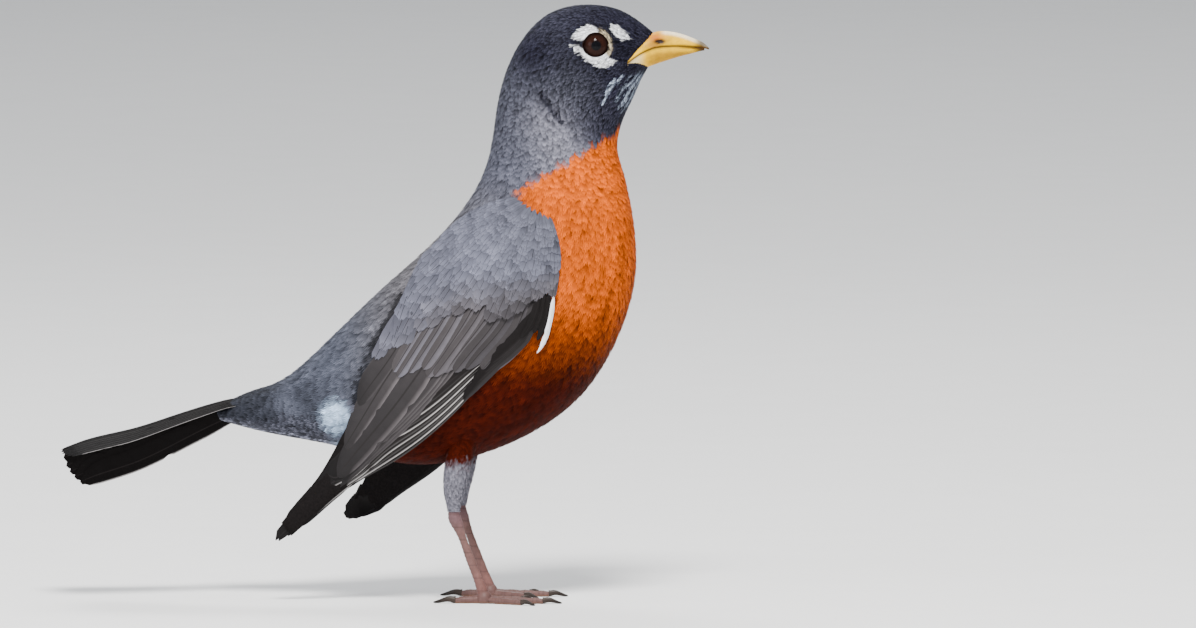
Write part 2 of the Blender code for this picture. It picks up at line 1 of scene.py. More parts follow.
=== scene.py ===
import json
import math
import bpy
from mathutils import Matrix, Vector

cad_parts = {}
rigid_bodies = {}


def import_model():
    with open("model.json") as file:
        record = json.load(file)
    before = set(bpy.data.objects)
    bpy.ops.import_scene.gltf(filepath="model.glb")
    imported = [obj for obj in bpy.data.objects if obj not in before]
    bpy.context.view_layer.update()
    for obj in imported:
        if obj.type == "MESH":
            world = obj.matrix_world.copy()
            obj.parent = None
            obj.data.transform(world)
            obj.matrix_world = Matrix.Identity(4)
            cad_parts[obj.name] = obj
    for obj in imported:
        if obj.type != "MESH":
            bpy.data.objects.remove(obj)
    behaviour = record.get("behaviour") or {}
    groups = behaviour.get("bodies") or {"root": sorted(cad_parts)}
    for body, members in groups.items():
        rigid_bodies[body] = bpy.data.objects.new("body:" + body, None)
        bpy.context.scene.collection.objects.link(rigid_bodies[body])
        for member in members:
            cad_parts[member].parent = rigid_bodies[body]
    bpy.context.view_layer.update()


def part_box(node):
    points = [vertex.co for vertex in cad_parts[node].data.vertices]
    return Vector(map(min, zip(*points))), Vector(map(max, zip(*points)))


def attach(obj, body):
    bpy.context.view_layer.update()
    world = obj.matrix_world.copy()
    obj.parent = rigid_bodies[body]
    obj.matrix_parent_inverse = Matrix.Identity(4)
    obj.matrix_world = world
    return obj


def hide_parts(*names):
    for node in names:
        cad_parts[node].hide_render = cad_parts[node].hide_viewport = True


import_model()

from types import SimpleNamespace

import bmesh
import bpy
import numpy as np
from mathutils import Vector
from mathutils.kdtree import KDTree

bl_info = {
    "name": "American Robin",
    "version": (1, 0, 0),
    "blender": (4, 5, 0),
    "location": "View3D > Sidebar > Robin",
    "description": "Clothes the solids of a life-size robin in skin, feathers, horn and scales",
    "category": "Object",
}

MM = 0.001
BODY = "root"
SIDES = (("right", -1), ("left", 1))
PROBE = 1e-3  # how far to either side a surface's slope is read

# ---------------- the bird's driving shapes
#
# All shapes are laid out in millimetres: +X ahead, +Z up from the floor, y = 0 the middle plane.

# Sections of the body: (x, z) on the back and on the underside, half width, and fullness below.
BODY_STATIONS = {
    "bill_base": ((91.0, 187.6), (89.3, 177.4), 3.9, 0.00),
    "lores": ((86.0, 191.6), (86.5, 172.6), 6.3, -0.05),
    "forehead": ((79.0, 195.6), (83.8, 166.4), 9.6, -0.08),
    "crown": ((68.5, 197.2), (81.0, 160.6), 12.3, -0.10),
    "hind_crown": ((56.0, 194.2), (79.2, 155.2), 13.2, -0.08),
    "nape": ((46.8, 185.0), (78.6, 151.0), 13.6, -0.02),
    "upper_neck": ((41.0, 172.5), (79.0, 146.8), 14.4, 0.00),
    "mid_neck": ((38.4, 160.0), (80.8, 140.8), 16.2, 0.00),
    "lower_neck": ((36.2, 147.0), (82.8, 132.5), 19.6, 0.00),
    "shoulder": ((30.0, 133.0), (84.6, 120.0), 24.2, -0.03),
    "upper_back": ((17.8, 118.2), (84.4, 105.5), 27.4, -0.06),
    "mid_back": ((2.2, 104.0), (79.2, 88.0), 28.4, -0.10),
    "lower_back": ((-11.2, 91.4), (66.5, 67.8), 26.6, -0.12),
    "loins": ((-22.0, 81.0), (40.0, 51.0), 22.6, -0.12),
    "vent": ((-31.0, 73.4), (8.0, 45.8), 17.2, -0.08),
    "rump": ((-37.4, 70.2), (-13.0, 51.2), 13.4, 0.00),
    "coverts": ((-42.4, 68.6), (-27.5, 53.8), 11.6, 0.05),
    "tail_root": ((-47.2, 66.6), (-39.5, 56.0), 10.4, 0.05),
    "coverts_tip": ((-54.0, 63.2), (-52.0, 59.2), 6.2, 0.00),
}
FULLNESS = 0.90

# Swellings and hollows of the head's sides: place (x, z), radius, and push outwards.
FACE_FORMS = {
    "eye_hollow": ((72.0, 184.0), 5.0, -0.9),
    "brow": ((71.0, 190.0), 4.5, 0.7),
    "cheek": ((66.0, 172.5), 8.0, 0.8),
    "loral_groove": ((80.5, 185.0), 4.0, -0.7),
}

# The right wing: (x, z) on its upper and its lower edge, how far out those lie, and its bulge.
WING_STATIONS = {
    "front": ((47.0, 135.0), (58.2, 128.7), 21.6, 25.0, 0.9),
    "shoulder": ((33.6, 129.6), (61.0, 116.5), 15.4, 28.0, 5.0),
    "scapulars": ((22.8, 120.8), (58.3, 100.5), 12.0, 29.3, 8.2),
    "wrist": ((16.0, 113.0), (53.0, 89.0), 13.4, 29.4, 8.0),
    "coverts": ((10.4, 101.4), (42.5, 79.5), 19.6, 28.6, 4.6),
    "secondaries": ((4.0, 90.0), (31.4, 68.4), 20.6, 26.8, 3.6),
    "tertials": ((-1.5, 78.5), (16.7, 54.7), 21.2, 24.6, 2.4),
    "tertial_tips": ((-5.5, 68.5), (3.6, 45.6), 21.2, 22.8, 1.7),
    "primaries": ((-12.6, 53.9), (-8.0, 38.5), 20.4, 21.4, 1.2),
    "taper": ((-20.2, 40.8), (-17.1, 31.4), 19.2, 20.0, 0.9),
    "stagger": ((-28.8, 30.2), (-24.7, 24.5), 17.8, 18.3, 0.5),
    "tip": ((-34.8, 22.2), (-31.8, 18.4), 16.8, 17.0, 0.2),
}

# The left wing hangs lower and further out from its shoulder, with its tip folded further in.
LEFT_WING_HINGE = (48.0, 24.0, 128.0)
LEFT_WING_HANGS_BELOW = 75.0
LEFT_WING_SWING = math.radians(9.0)
LEFT_WING_DROOP = math.radians(4.5)
LEFT_WING_DROP = 7.0
LEFT_WING_FOLDED_FROM, LEFT_WING_FOLDED_TO = 108.0, 0.32

TAIL_LINE = (
    (-36.0, 65.2), (-46.5, 66.6), (-54.5, 65.0), (-69.0, 60.4), (-82.0, 56.2), (-97.5, 52.4),
    (-106.0, 49.2),
)
TAIL_ROOT_HALF, TAIL_TIP_HALF = 10.0, 22.5
TAIL_CAMBER, TAIL_ROLL = math.radians(28.5), math.radians(21.0)
TAIL_CREST = 0.3
TAIL_ROUNDING = 6.5
TAIL_PAIRS = 6

# The bill: x, height of the mouth line, of the culmen, of the underside, and half width.
BILL_STATIONS = (
    (82.6, 178.2, 181.0, 176.2, 8.9),
    (86.8, 181.2, 185.6, 176.1, 6.7),
    (91.3, 183.1, 188.2, 177.5, 4.9),
    (95.5, 183.6, 188.4, 178.9, 3.9),
    (100.1, 183.6, 187.5, 180.3, 3.0),
    (104.7, 183.2, 185.8, 181.5, 1.95),
    (107.6, 182.8, 184.3, 182.1, 1.0),
    (109.0, 182.4, 182.95, 182.0, 0.35),
)
MOUTH_GAP = 0.12

EYE = (71.9, 7.6, 184.1)  # x, distance from the middle plane, z
EYE_RADIUS = 5.0
EYE_OUT = 11.6  # how far out the lids stand
EYE_OPENING = (4.2, 3.8)  # half the opening between the lids, along and up

LEG_SPACING = 13.0
# Lines of the legs, downwards: x, z and radius. The thigh's root is inside the trunk.
THIGH_ROOT = ((32.0, 68.0, 5.6), (30.6, 62.0, 5.6))
THIGH = (
    (29.5, 57.0, 5.4), (27.4, 48.5, 4.5), (26.2, 41.0, 4.1), (25.6, 35.5, 3.2), (25.6, 30.4, 2.1),
)
THIGH_FLATNESS = 0.85
TARSUS = (
    (25.6, 31.5, 1.7), (25.6, 30.0, 1.9), (26.0, 27.6, 2.2), (27.4, 24.0, 1.65),
    (30.9, 14.8, 1.5), (34.2, 6.4, 1.7), (35.2, 3.4, 1.9), (35.5, 1.7, 1.7),
)
TARSUS_FLATNESS = 0.78
TARSUS_PLATE = 4.2  # length of a plate on the tarsus's front
FOOT_AHEAD = 35.6  # x of the middle of a foot
# The ball of the foot: height and radius.
FOOT_BALL = (
    (0.0, 1.9), (0.5, 2.4), (1.2, 2.65), (1.9, 2.6), (2.6, 2.4), (3.3, 2.0), (4.0, 1.5),
)
SCUTE = 1.25  # length of a scute on a toe
# Toes, innermost round to the back one: heading outwards from +X, length, joints, radius, claw.
TOES = {
    "inner": (-27.0, 13.5, 2, 1.25, 5.0),
    "middle": (2.0, 19.5, 3, 1.35, 6.0),
    "outer": (28.0, 14.5, 3, 1.20, 5.0),
    "hind": (176.0, 9.5, 1, 1.45, 7.0),
}

# The layout's own origin, found from where the frame has the right eye.
ORIGIN = np.array([EYE[0], -EYE[1], EYE[2]]) - np.add(*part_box("eye_right")) / 2 / MM

FLESH = ("head", "neck", "trunk", "rump", "thigh_left", "thigh_right")


# ---------------- curves and surfaces


class Spline:
    """A natural cubic curve through rows of numbers, read at many places at once."""

    def __init__(self, knots, rows):
        self.knots = np.asarray(knots, float)
        self.rows = np.asarray(rows, float)
        step = np.diff(self.knots)
        system = np.eye(len(self.knots))
        target = np.zeros_like(self.rows)
        for i in range(1, len(self.knots) - 1):
            system[i, i - 1 : i + 2] = step[i - 1], 2 * (step[i - 1] + step[i]), step[i]
            after = (self.rows[i + 1] - self.rows[i]) / step[i]
            target[i] = 6 * (after - (self.rows[i] - self.rows[i - 1]) / step[i - 1])
        self.bends = np.linalg.solve(system, target)

    def __call__(self, t):
        t = np.asarray(t, float)
        i = np.clip(np.searchsorted(self.knots, t) - 1, 0, len(self.knots) - 2)
        step = (self.knots[i + 1] - self.knots[i])[..., None]
        a = (self.knots[i + 1] - t)[..., None] / step
        b = 1 - a
        bend = (a**3 - a) * self.bends[i] + (b**3 - b) * self.bends[i + 1]
        return a * self.rows[i] + b * self.rows[i + 1] + bend * step**2 / 6


def distances(places):
    """How far along a line of places each of them lies."""
    steps = np.linalg.norm(np.diff(np.asarray(places, float), axis=0), axis=1)
    return np.concatenate([[0.0], np.cumsum(steps)])


def through_stations(stations):
    """The spline through a table of stations, and the places of its rows by name."""
    rows = np.array([np.hstack([np.ravel(v) for v in row]) for row in stations.values()])
    spline = Spline(distances(rows[:, :4]), rows)
    return spline, dict(zip(stations, spline.knots))


BODY_LINE, BODY_AT = through_stations(BODY_STATIONS)
WING_LINE, WING_AT = through_stations(WING_STATIONS)
TAIL_SPINE = Spline(distances(TAIL_LINE), TAIL_LINE)
BILL_LINE = Spline([row[0] for row in BILL_STATIONS], BILL_STATIONS)


def ramp(low, high, value):
    """A smooth step from 0 at low to 1 at high."""
    share = np.clip((np.asarray(value, float) - low) / (high - low), 0, 1)
    return share * share * (3 - 2 * share)


def bell(distance, width):
    """1 at no distance, falling softly to nothing past the width."""
    return np.exp(-((np.asarray(distance, float) / width) ** 2))


def spot(x, z, place, stretch=1.0):
    """1 in the middle of a soft spot, falling off to its radius; stretch makes it longer in x."""
    middle_x, middle_z, radius = place
    return bell(np.hypot((x - middle_x) / stretch, z - middle_z), radius)


def body_surface(t, turn, lift=0.0):
    """Points of the body; turn 0 is the back, pi the underside, and more than 0 the right side."""
    t, turn = np.broadcast_arrays(np.asarray(t, float), np.asarray(turn, float))
    rows = BODY_LINE(t)
    back, under, half, egg = rows[..., 0:2], rows[..., 2:4], rows[..., 4], rows[..., 5]
    up, side = np.cos(turn), np.sin(turn)
    reach = (back - under) / 2
    stretch = up * (1 + lift / np.linalg.norm(reach, axis=-1))
    xz = (back + under) / 2 + reach * stretch[..., None]
    x, z = xz[..., 0], xz[..., 1]
    push = sum(
        amount * bell(np.hypot(x - place[0], z - place[1]), radius)
        for place, radius, amount in FACE_FORMS.values()
    )
    out = (half + lift) * np.sign(side) * np.abs(side) ** FULLNESS * (1 + egg * up)
    return np.stack([x, -(out + push * side), z], axis=-1)


def wing_surface(t, level, lift=0.0):
    """Points of the right wing's outer face; level 0 is its upper edge and 1 its lower one."""
    t, level = np.broadcast_arrays(np.asarray(t, float), np.asarray(level, float))
    rows = WING_LINE(t)
    upper_x, upper_z, lower_x, lower_z, upper_out, lower_out, bulge = np.moveaxis(rows, -1, 0)
    out = upper_out + (lower_out - upper_out) * level + bulge * 4 * level * (1 - level)
    return np.stack([
        upper_x + (lower_x - upper_x) * level, -(out + lift),
        upper_z + (lower_z - upper_z) * level,
    ], axis=-1)


def left_wing_surface(t, level, lift=0.0):
    """The same for the left wing: mirrored, let down, swung out and folded further."""
    right = wing_surface(t, level, lift)
    arm = right * np.array([1, -1, 1]) - np.array(LEFT_WING_HINGE)
    reach = np.hypot(arm[..., 0], arm[..., 2])
    folded = LEFT_WING_FOLDED_FROM + (reach - LEFT_WING_FOLDED_FROM) * LEFT_WING_FOLDED_TO
    folded = np.where(reach > LEFT_WING_FOLDED_FROM, folded, reach)
    x, z = arm[..., 0] * folded / reach, arm[..., 2] * folded / reach
    share = np.clip(-z / LEFT_WING_HANGS_BELOW, 0, 1)
    swing, droop = LEFT_WING_SWING * share, LEFT_WING_DROOP * share
    return np.array(LEFT_WING_HINGE) + np.stack([
        (x * np.cos(droop) - z * np.sin(droop)) * np.cos(swing),
        arm[..., 1] + folded * np.sin(swing),
        (x * np.sin(droop) + z * np.cos(droop)) * np.cos(swing) - LEFT_WING_DROP * share,
    ], axis=-1)


def tail_surface(run, across, lift=0.0):
    """Points of the tail's top: run in millimetres from its root, across from -1 to 1 (left)."""
    run, across = np.broadcast_arrays(np.asarray(run, float), np.asarray(across, float))
    line = TAIL_SPINE(run)
    share = np.clip(run / TAIL_SPINE.knots[-1], 0, 1)
    half = TAIL_ROOT_HALF + (TAIL_TIP_HALF - TAIL_ROOT_HALF) * share**0.85
    slope = TAIL_CAMBER + np.sign(across) * TAIL_ROLL
    slope = slope * np.minimum(1.0, 0.4 + 0.6 * np.abs(across) / TAIL_CREST)
    out = across * half
    z = line[..., 1] - np.abs(out) * np.sin(slope) + lift
    return np.stack([line[..., 0], out * np.cos(slope), z], axis=-1)


def tube_surface(stations, y, flatness):
    """A function for the points round a leg's line: t along it, turn round it, lift off it."""
    rows = np.array(stations)
    line = Spline(distances(rows[:, :2]), rows)

    def surface(t, turn, lift=0.0):
        t, turn = np.broadcast_arrays(np.asarray(t, float), np.asarray(turn, float))
        x, z, radius = np.moveaxis(line(t), -1, 0)
        wide = radius + lift
        return np.stack([
            x + wide * np.cos(turn), y - wide * flatness * np.sin(turn), z + 0 * turn,
        ], axis=-1)

    return surface, line.knots[-1]


def unit(vectors):
    """The directions of vectors, each one long."""
    return vectors / np.maximum(np.linalg.norm(vectors, axis=-1, keepdims=True), 1e-9)


def slopes(surface, t, turn):
    """How fast a surface moves along and across, and the unit direction out of it."""
    along = (surface(t + PROBE, turn) - surface(t - PROBE, turn)) / (2 * PROBE)
    across = (surface(t, turn + PROBE) - surface(t, turn - PROBE)) / (2 * PROBE)
    return along, across, unit(np.cross(along, across))


def in_frame(points):
    """Layout millimetres as metres in the frame."""
    return (np.asarray(points, float) - ORIGIN) * MM


# ---------------- meshes


def new_object(name, data):
    """Links a mesh, a light or a camera to the scene as an object at the origin."""
    thing = bpy.data.objects.new(name, data)
    bpy.context.scene.collection.objects.link(thing)
    return thing


def grid_faces(grid, closed=False, turned=False):
    """Quads between neighbours in rows of point numbers; closed joins each row to its own start."""
    after = np.roll(grid, -1, axis=1)
    corners = np.stack([grid[:-1], after[:-1], after[1:], grid[1:]], axis=-1)
    if not closed:
        corners = corners[:, :-1]
    if turned:
        corners = corners[..., (0, 3, 2, 1)]
    return [tuple(face) for face in corners.reshape(-1, 4).tolist()]


def joined(shapes):
    """Points and faces of several shapes as one."""
    points, faces, start = [], [], 0
    for here, these, *_ in shapes:
        points.append(here)
        faces += [tuple(corner + start for corner in face) for face in these]
        start += len(here)
    return np.concatenate(points), faces


def mesh_from(name, points, faces, material):
    """A mesh from layout points, its faces turned outwards."""
    mesh = bpy.data.meshes.new(name)
    mesh.from_pydata(in_frame(points).tolist(), [], faces)
    solid = bmesh.new()
    solid.from_mesh(mesh)
    bmesh.ops.recalc_face_normals(solid, faces=solid.faces)
    solid.to_mesh(mesh)
    solid.free()
    mesh.polygons.foreach_set("use_smooth", [True] * len(mesh.polygons))
    mesh.materials.append(material)
    return mesh


def tube(rings):
    """Points and faces of a closed tube through rings of equal length, rings first to last."""
    rings = np.asarray(rings, float)
    rows, sides = rings.shape[:2]
    points = np.concatenate([rings.reshape(-1, 3), [rings[0].mean(0), rings[-1].mean(0)]])
    first, last, top = rows * sides, rows * sides + 1, (rows - 1) * sides
    faces = grid_faces(np.arange(rows * sides).reshape(rows, sides), closed=True)
    for i in range(sides):
        after = (i + 1) % sides
        faces += [(first, after, i), (last, top + i, top + after)]
    return points, faces


def carry(mesh, **values):
    """Stores a number, a direction or a colour for each point of a mesh, under its name."""
    for name, rows in values.items():
        rows = np.asarray(rows, np.float32)
        kind, field = ("FLOAT", "value") if rows.ndim == 1 else ("FLOAT_VECTOR", "vector")
        if name in ("plume", "fringe"):
            kind, field = "FLOAT_COLOR", "color"
            rows = np.concatenate([rows, np.ones((len(rows), 1), np.float32)], axis=1)
        layer = mesh.attributes.get(name) or mesh.attributes.new(name, kind, "POINT")
        layer.data.foreach_set(field, rows.ravel())


def read_attribute(mesh, name, width):
    """One row of numbers for each point from a named attribute."""
    field = {1: "value", 3: "vector"}[width]
    values = np.zeros(len(mesh.vertices) * width, np.float32)
    mesh.attributes[name].data.foreach_get(field, values)
    return values.reshape(-1, width)


def settle(thing):
    """Turns an object with modifiers into a plain mesh."""
    result = bpy.data.meshes.new_from_object(
        thing.evaluated_get(bpy.context.evaluated_depsgraph_get())
    )
    result.name = thing.name
    thing.modifiers.clear()
    thing.data = result


def finish_piece(thing, slot, *nodes):
    """Rides a piece on the body and lets it stand for the solids given, which it hides; the slot is
    not used.
    """
    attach(thing, BODY)
    if nodes:
        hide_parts(*nodes)


# ---------------- node trees


def fill(tree, node, sockets):
    """Fills a node's inputs with values or with other nodes' outputs."""
    for key, value in sockets.items():
        if isinstance(value, bpy.types.NodeSocket):
            tree.links.new(value, node.inputs[key])
        else:
            node.inputs[key].default_value = value


def wire(tree, kind, sockets=None, **settings):
    """Adds a node, sets it up, fills its inputs, and gives its outputs."""
    node = tree.nodes.new(kind)
    for key, value in settings.items():
        setattr(node, key, value)
    fill(tree, node, sockets or {})
    return node.outputs


def lay_feathers_tree():
    """Geometry nodes that set a vane on each root, lay it along the skin and give it its finish.

    Each root point carries lie and up, the directions along the coat and out of the skin, size, the
    vane's length, width and fullness, and rise, how high its tip stands.
    """
    name = "Lay feathers"
    if name in bpy.data.node_groups:
        return bpy.data.node_groups[name]
    tree = bpy.data.node_groups.new(name, "GeometryNodeTree")
    for way, label, kind in (
        ("INPUT", "Geometry", "Geometry"), ("INPUT", "Vanes", "Collection"),
        ("INPUT", "Kinds of vane", "Int"), ("INPUT", "Skin", "Object"),
        ("INPUT", "Clear of skin", "Float"), ("INPUT", "Seed", "Int"),
        ("INPUT", "Finish", "Material"), ("OUTPUT", "Geometry", "Geometry"),
    ):
        tree.interface.new_socket(label, in_out=way, socket_type=f"NodeSocket{kind}")
    given = wire(tree, "NodeGroupInput")

    def named(label, kind="FLOAT"):
        reader = wire(tree, "GeometryNodeInputNamedAttribute", {"Name": label}, data_type=kind)
        return reader["Attribute"]

    turned = wire(tree, "FunctionNodeAxesToRotation", {
        0: named("up", "FLOAT_VECTOR"), 1: named("lie", "FLOAT_VECTOR"),
    }, primary_axis="Z", secondary_axis="X")
    vanes = wire(tree, "GeometryNodeCollectionInfo", {
        "Collection": given["Vanes"], "Separate Children": True, "Reset Children": True,
    })
    last = maths(tree, "SUBTRACT", given["Kinds of vane"], 1.0)
    pick = wire(
        tree, "FunctionNodeRandomValue", {4: 0, 5: last, "Seed": given["Seed"]}, data_type="INT",
    )
    laid = wire(tree, "GeometryNodeInstanceOnPoints", {
        "Points": given["Geometry"], "Instance": vanes[0], "Pick Instance": True,
        "Instance Index": pick[2], "Rotation": turned[0], "Scale": named("size", "FLOAT_VECTOR"),
    })
    real = wire(tree, "GeometryNodeRealizeInstances", {0: laid[0]})

    skin = wire(tree, "GeometryNodeObjectInfo", {"Object": given["Skin"]})["Geometry"]
    nearest = wire(tree, "GeometryNodeProximity", {0: skin}, target_element="FACES")
    outward = wire(tree, "GeometryNodeSampleNearestSurface", {
        "Mesh": skin, "Value": wire(tree, "GeometryNodeInputNormal")[0],
    }, data_type="FLOAT_VECTOR")
    slant = maths(tree, "MULTIPLY", named("along"), named("rise"))
    full = maths(tree, "MULTIPLY_ADD", named("crown"), named("fullness"), slant)
    raised = shaded(tree, outward[0], maths(tree, "ADD", full, given["Clear of skin"]))
    place = wire(tree, "ShaderNodeVectorMath", {0: nearest["Position"], 1: raised})
    moved = wire(tree, "GeometryNodeSetPosition", {"Geometry": real[0], "Position": place[0]})
    done = wire(tree, "GeometryNodeSetMaterial", {
        "Geometry": moved[0], "Material": given["Finish"],
    })
    wire(tree, "NodeGroupOutput", {"Geometry": done[0]})
    return tree


# ---------------- finishes

SKIN_FINISH = "down_and_skin"
# Feathers: barbs on a vane's length, roughness, how far out the edge begins, the shaft's share of
# the width, gloss, and how light the vane is where the next one covers it, a painted shade.
FEATHER_FINISHES = {
    "contour_feathers": (26, 0.62, 0.45, 0.0, 0.03, 0.56),
    "small_coverts": (24, 0.6, 0.4, 0.05, 0.1, 0.66),
    "broad_quills": (46, 0.6, 0.05, 0.05, 0.1, 1.0),
    "long_quills": (60, 0.5, 0.62, 0.07, 0.12, 1.0),
    "tail_quills": (70, 0.6, 0.80, 0.06, 0.02, 1.0),
}
MOTTLING = 0.12
SHAFT_COLOUR = (0.012, 0.010, 0.010, 1.0)
# Horn: roughness, gloss, fineness of the grain, its depth in millimetres, and wet gloss.
HORN_FINISHES = {
    "bill_horn": (0.42, 0.04, 500.0, 0.04, 0.02),
    "leg_scales": (0.5, 0.2, 900.0, 0.06, 0.0),
    "claw_horn": (0.4, 0.16, 1200.0, 0.03, 0.04),
}


def new_material(name):
    """An empty node material, its tree and its Principled shader."""
    material = bpy.data.materials.new(name)
    material.use_nodes = True
    return material, material.node_tree, material.node_tree.nodes["Principled BSDF"]


def finish_called(name, make):
    """The finish of that name, made the first time it is asked for."""
    return bpy.data.materials.get(name) or make(name)


def mix_colours(tree, share, first, second):
    """A colour Mix node's result."""
    return wire(tree, "ShaderNodeMix", {0: share, 6: first, 7: second}, data_type="RGBA")[2]


def attribute_value(tree, name):
    """The number stored under a name on the mesh."""
    return wire(tree, "ShaderNodeAttribute", attribute_name=name)["Fac"]


def attribute_colour(tree, name):
    """The colour stored under a name on the mesh."""
    return wire(tree, "ShaderNodeAttribute", attribute_name=name)["Color"]


def maths(tree, operation, *values):
    """A Math node's result."""
    return wire(tree, "ShaderNodeMath", dict(enumerate(values)), operation=operation)[0]


def speckle(tree, scale, detail=2.0, roughness=0.5):
    """A noise's factor on the piece's own metres."""
    return wire(tree, "ShaderNodeTexNoise", {
        "Vector": wire(tree, "ShaderNodeTexCoord")["Object"], "Scale": scale, "Detail": detail,
        "Roughness": roughness,
    })["Fac"]


def spread(tree, value, low, high, first=0.0, last=1.0):
    """A Map Range node's result, clamped."""
    return wire(tree, "ShaderNodeMapRange", {"Value": value, 1: low, 2: high, 3: first, 4: last})[0]


def shaded(tree, colour, share):
    """A colour made lighter or darker, or any other vector scaled."""
    return wire(tree, "ShaderNodeVectorMath", {0: colour, "Scale": share}, operation="SCALE")[0]


def bump(tree, height, strength, depth):
    """A Bump node's result, with its depth in millimetres."""
    return wire(tree, "ShaderNodeBump", {
        "Height": height, "Strength": strength, "Distance": depth * MM,
    })[0]


def feather_material(name):
    """Vane, pale edge, barbs and shaft, from what each feather carries, with painted shade towards
    each vane's covered root.
    """
    barbs, roughness, edge_from, shaft, gloss, base = FEATHER_FINISHES[name]
    material, tree, surface = new_material(name)
    width = maths(tree, "ABSOLUTE", attribute_value(tree, "across"))
    slanted = maths(tree, "MULTIPLY_ADD", width, -0.35, attribute_value(tree, "along"))
    phase = maths(tree, "MULTIPLY", slanted, barbs * math.tau)
    phase = maths(tree, "MULTIPLY_ADD", speckle(tree, 700.0), 3.0, phase)
    barb = maths(tree, "MULTIPLY_ADD", maths(tree, "SINE", phase), 0.5, 0.5)
    edge = spread(tree, attribute_value(tree, "rim"), edge_from, 1.0)
    tint = mix_colours(
        tree, edge, attribute_colour(tree, "plume"), attribute_colour(tree, "fringe")
    )
    mottle = spread(tree, speckle(tree, 240.0, 4.0, 0.65), 0.25, 0.75, 1 - MOTTLING, 1 + MOTTLING)
    tint = shaded(tree, tint, mottle)
    # Painted shade: each vane darkens towards its root, where the next feather covers it.
    tint = shaded(tree, tint, spread(tree, attribute_value(tree, "along"), 0.6, 0.97, base, 1.0))
    tint = shaded(tree, tint, maths(tree, "MULTIPLY_ADD", barb, 0.26, 0.87))
    if shaft:
        line = spread(tree, width, shaft * 0.6, shaft, 0.85, 0.0)
        tint = mix_colours(tree, line, tint, SHAFT_COLOUR)
    fill(tree, surface, {
        "Base Color": tint, "Roughness": roughness, "Specular IOR Level": gloss,
        "Sheen Weight": 0.01, "Sheen Roughness": 0.4, "Normal": bump(tree, barb, 0.3, 0.05),
    })
    return material


def skin_material(name):
    """The skin's finish: the coat's own colours, darker, as down shows between feathers."""
    material, tree, surface = new_material(name)
    down = speckle(tree, 1400.0, 3.0)
    tint = shaded(tree, attribute_colour(tree, "plume"), spread(tree, down, 0.3, 0.7, 0.45, 0.95))
    fill(tree, surface, {
        "Base Color": tint, "Roughness": 0.85, "Specular IOR Level": 0.1,
        "Normal": bump(tree, down, 0.6, 0.3),
    })
    return material


def horn_material(name):
    """Bill, scales and claws: the colours set on the piece, with fine grain and a thin gloss."""
    roughness, gloss, grain, grain_depth, coat = HORN_FINISHES[name]
    material, tree, surface = new_material(name)
    fine, broad = speckle(tree, grain, 3.0, 0.6), speckle(tree, grain * 0.2, 2.0)
    tint = shaded(tree, attribute_colour(tree, "plume"), spread(tree, fine, 0.25, 0.75, 0.8, 1.18))
    fill(tree, surface, {
        "Base Color": shaded(tree, tint, spread(tree, broad, 0.3, 0.7, 0.85, 1.12)),
        "Roughness": spread(tree, broad, 0.2, 0.8, roughness - 0.07, roughness + 0.1),
        "Specular IOR Level": gloss, "Coat Weight": coat, "Coat Roughness": 0.18,
        "Normal": bump(tree, fine, 0.35, grain_depth),
    })
    return material


# ---------------- markings

# Marks on the side of the head, in millimetres ahead of and above the middle of the eye.
UPPER_CRESCENT = (
    (1.6, 3.2), (1.0, 5.0), (-0.7, 6.4), (-2.1, 6.6), (-4.3, 5.3), (-6.2, 3.8), (-6.8, 2.2),
    (-4.6, 1.7), (-3.2, 2.2), (-1.6, 3.1),
)
LOWER_CRESCENT = (
    (-7.9, 0.2), (-5.8, -2.2), (-2.9, -4.9), (-0.8, -5.8), (2.4, -7.0), (4.4, -6.6), (7.2, -4.6),
    (4.9, -3.6), (3.5, -2.2), (0.4, -3.0), (-3.3, -1.2), (-5.2, -0.4),
)
LORE_SPOT = ((5.4, 6.5), (8.0, 6.2), (10.4, 4.2), (12.2, 2.4), (9.4, 1.6), (6.6, 2.8), (5.2, 4.6))
# The pale throat and the dark streaks to a full turn of it; pale streaks behind it, and the painted
# shade along the crease below the ear: both ends and half width.
THROAT = (
    (15.5, -8.0), (16.5, -12.0), (12.0, -18.0), (8.6, -20.5), (7.6, -17.0), (9.6, -13.0),
    (12.4, -9.4),
)
THROAT_STREAKS = 26
CHEEK_STREAKS = (
    (6.6, -11.0, 4.3, -14.9, 0.42), (4.2, -16.0, 2.8, -18.0, 0.3), (9.0, -9.6, 7.9, -11.4, 0.3),
)
EAR_FOLD_SHADE = (-17.4, -15.0, -11.0, -24.2, 0.8)
LORES = (11.0, -0.5, 5.5)  # middle and radius
# Soft spots in the layout: (x, z) of the middle, and radius. The cheek and the ruffles are plumage;
# the hind crown and the hollow are painted shade, the rump's side is dark coverts deepened by
# painted shade, and the shoulder is a painted highlight.
CHEEK = (62.0, 170.0, 11.5)
HIND_CROWN_SHADE = (52.5, 181.0, 9.0)
RUFFLES = (46.0, 139.0, 15.0)
RUMP_SIDE = (-21.0, 65.0, 6.0)
SHOULDER_HIGHLIGHT, HOLLOW_SHADE = (39.0, 120.0, 9.0), (50.0, 103.0, 9.0)
# Lines between places: the neck's pale side, and the painted shadow where the back dips under the
# right wing's upper edge.
PALE_NECK = (57.0, 159.0, 60.0, 148.0)
WING_EDGE_SHADOW = ((9.5, 100.0, -1.5, 80.0), (-1.5, 80.0, -6.0, 67.0))
# Places on the sides are set out as seen from a little ahead and a little above.
LEAN = math.sin(math.radians(4.0))


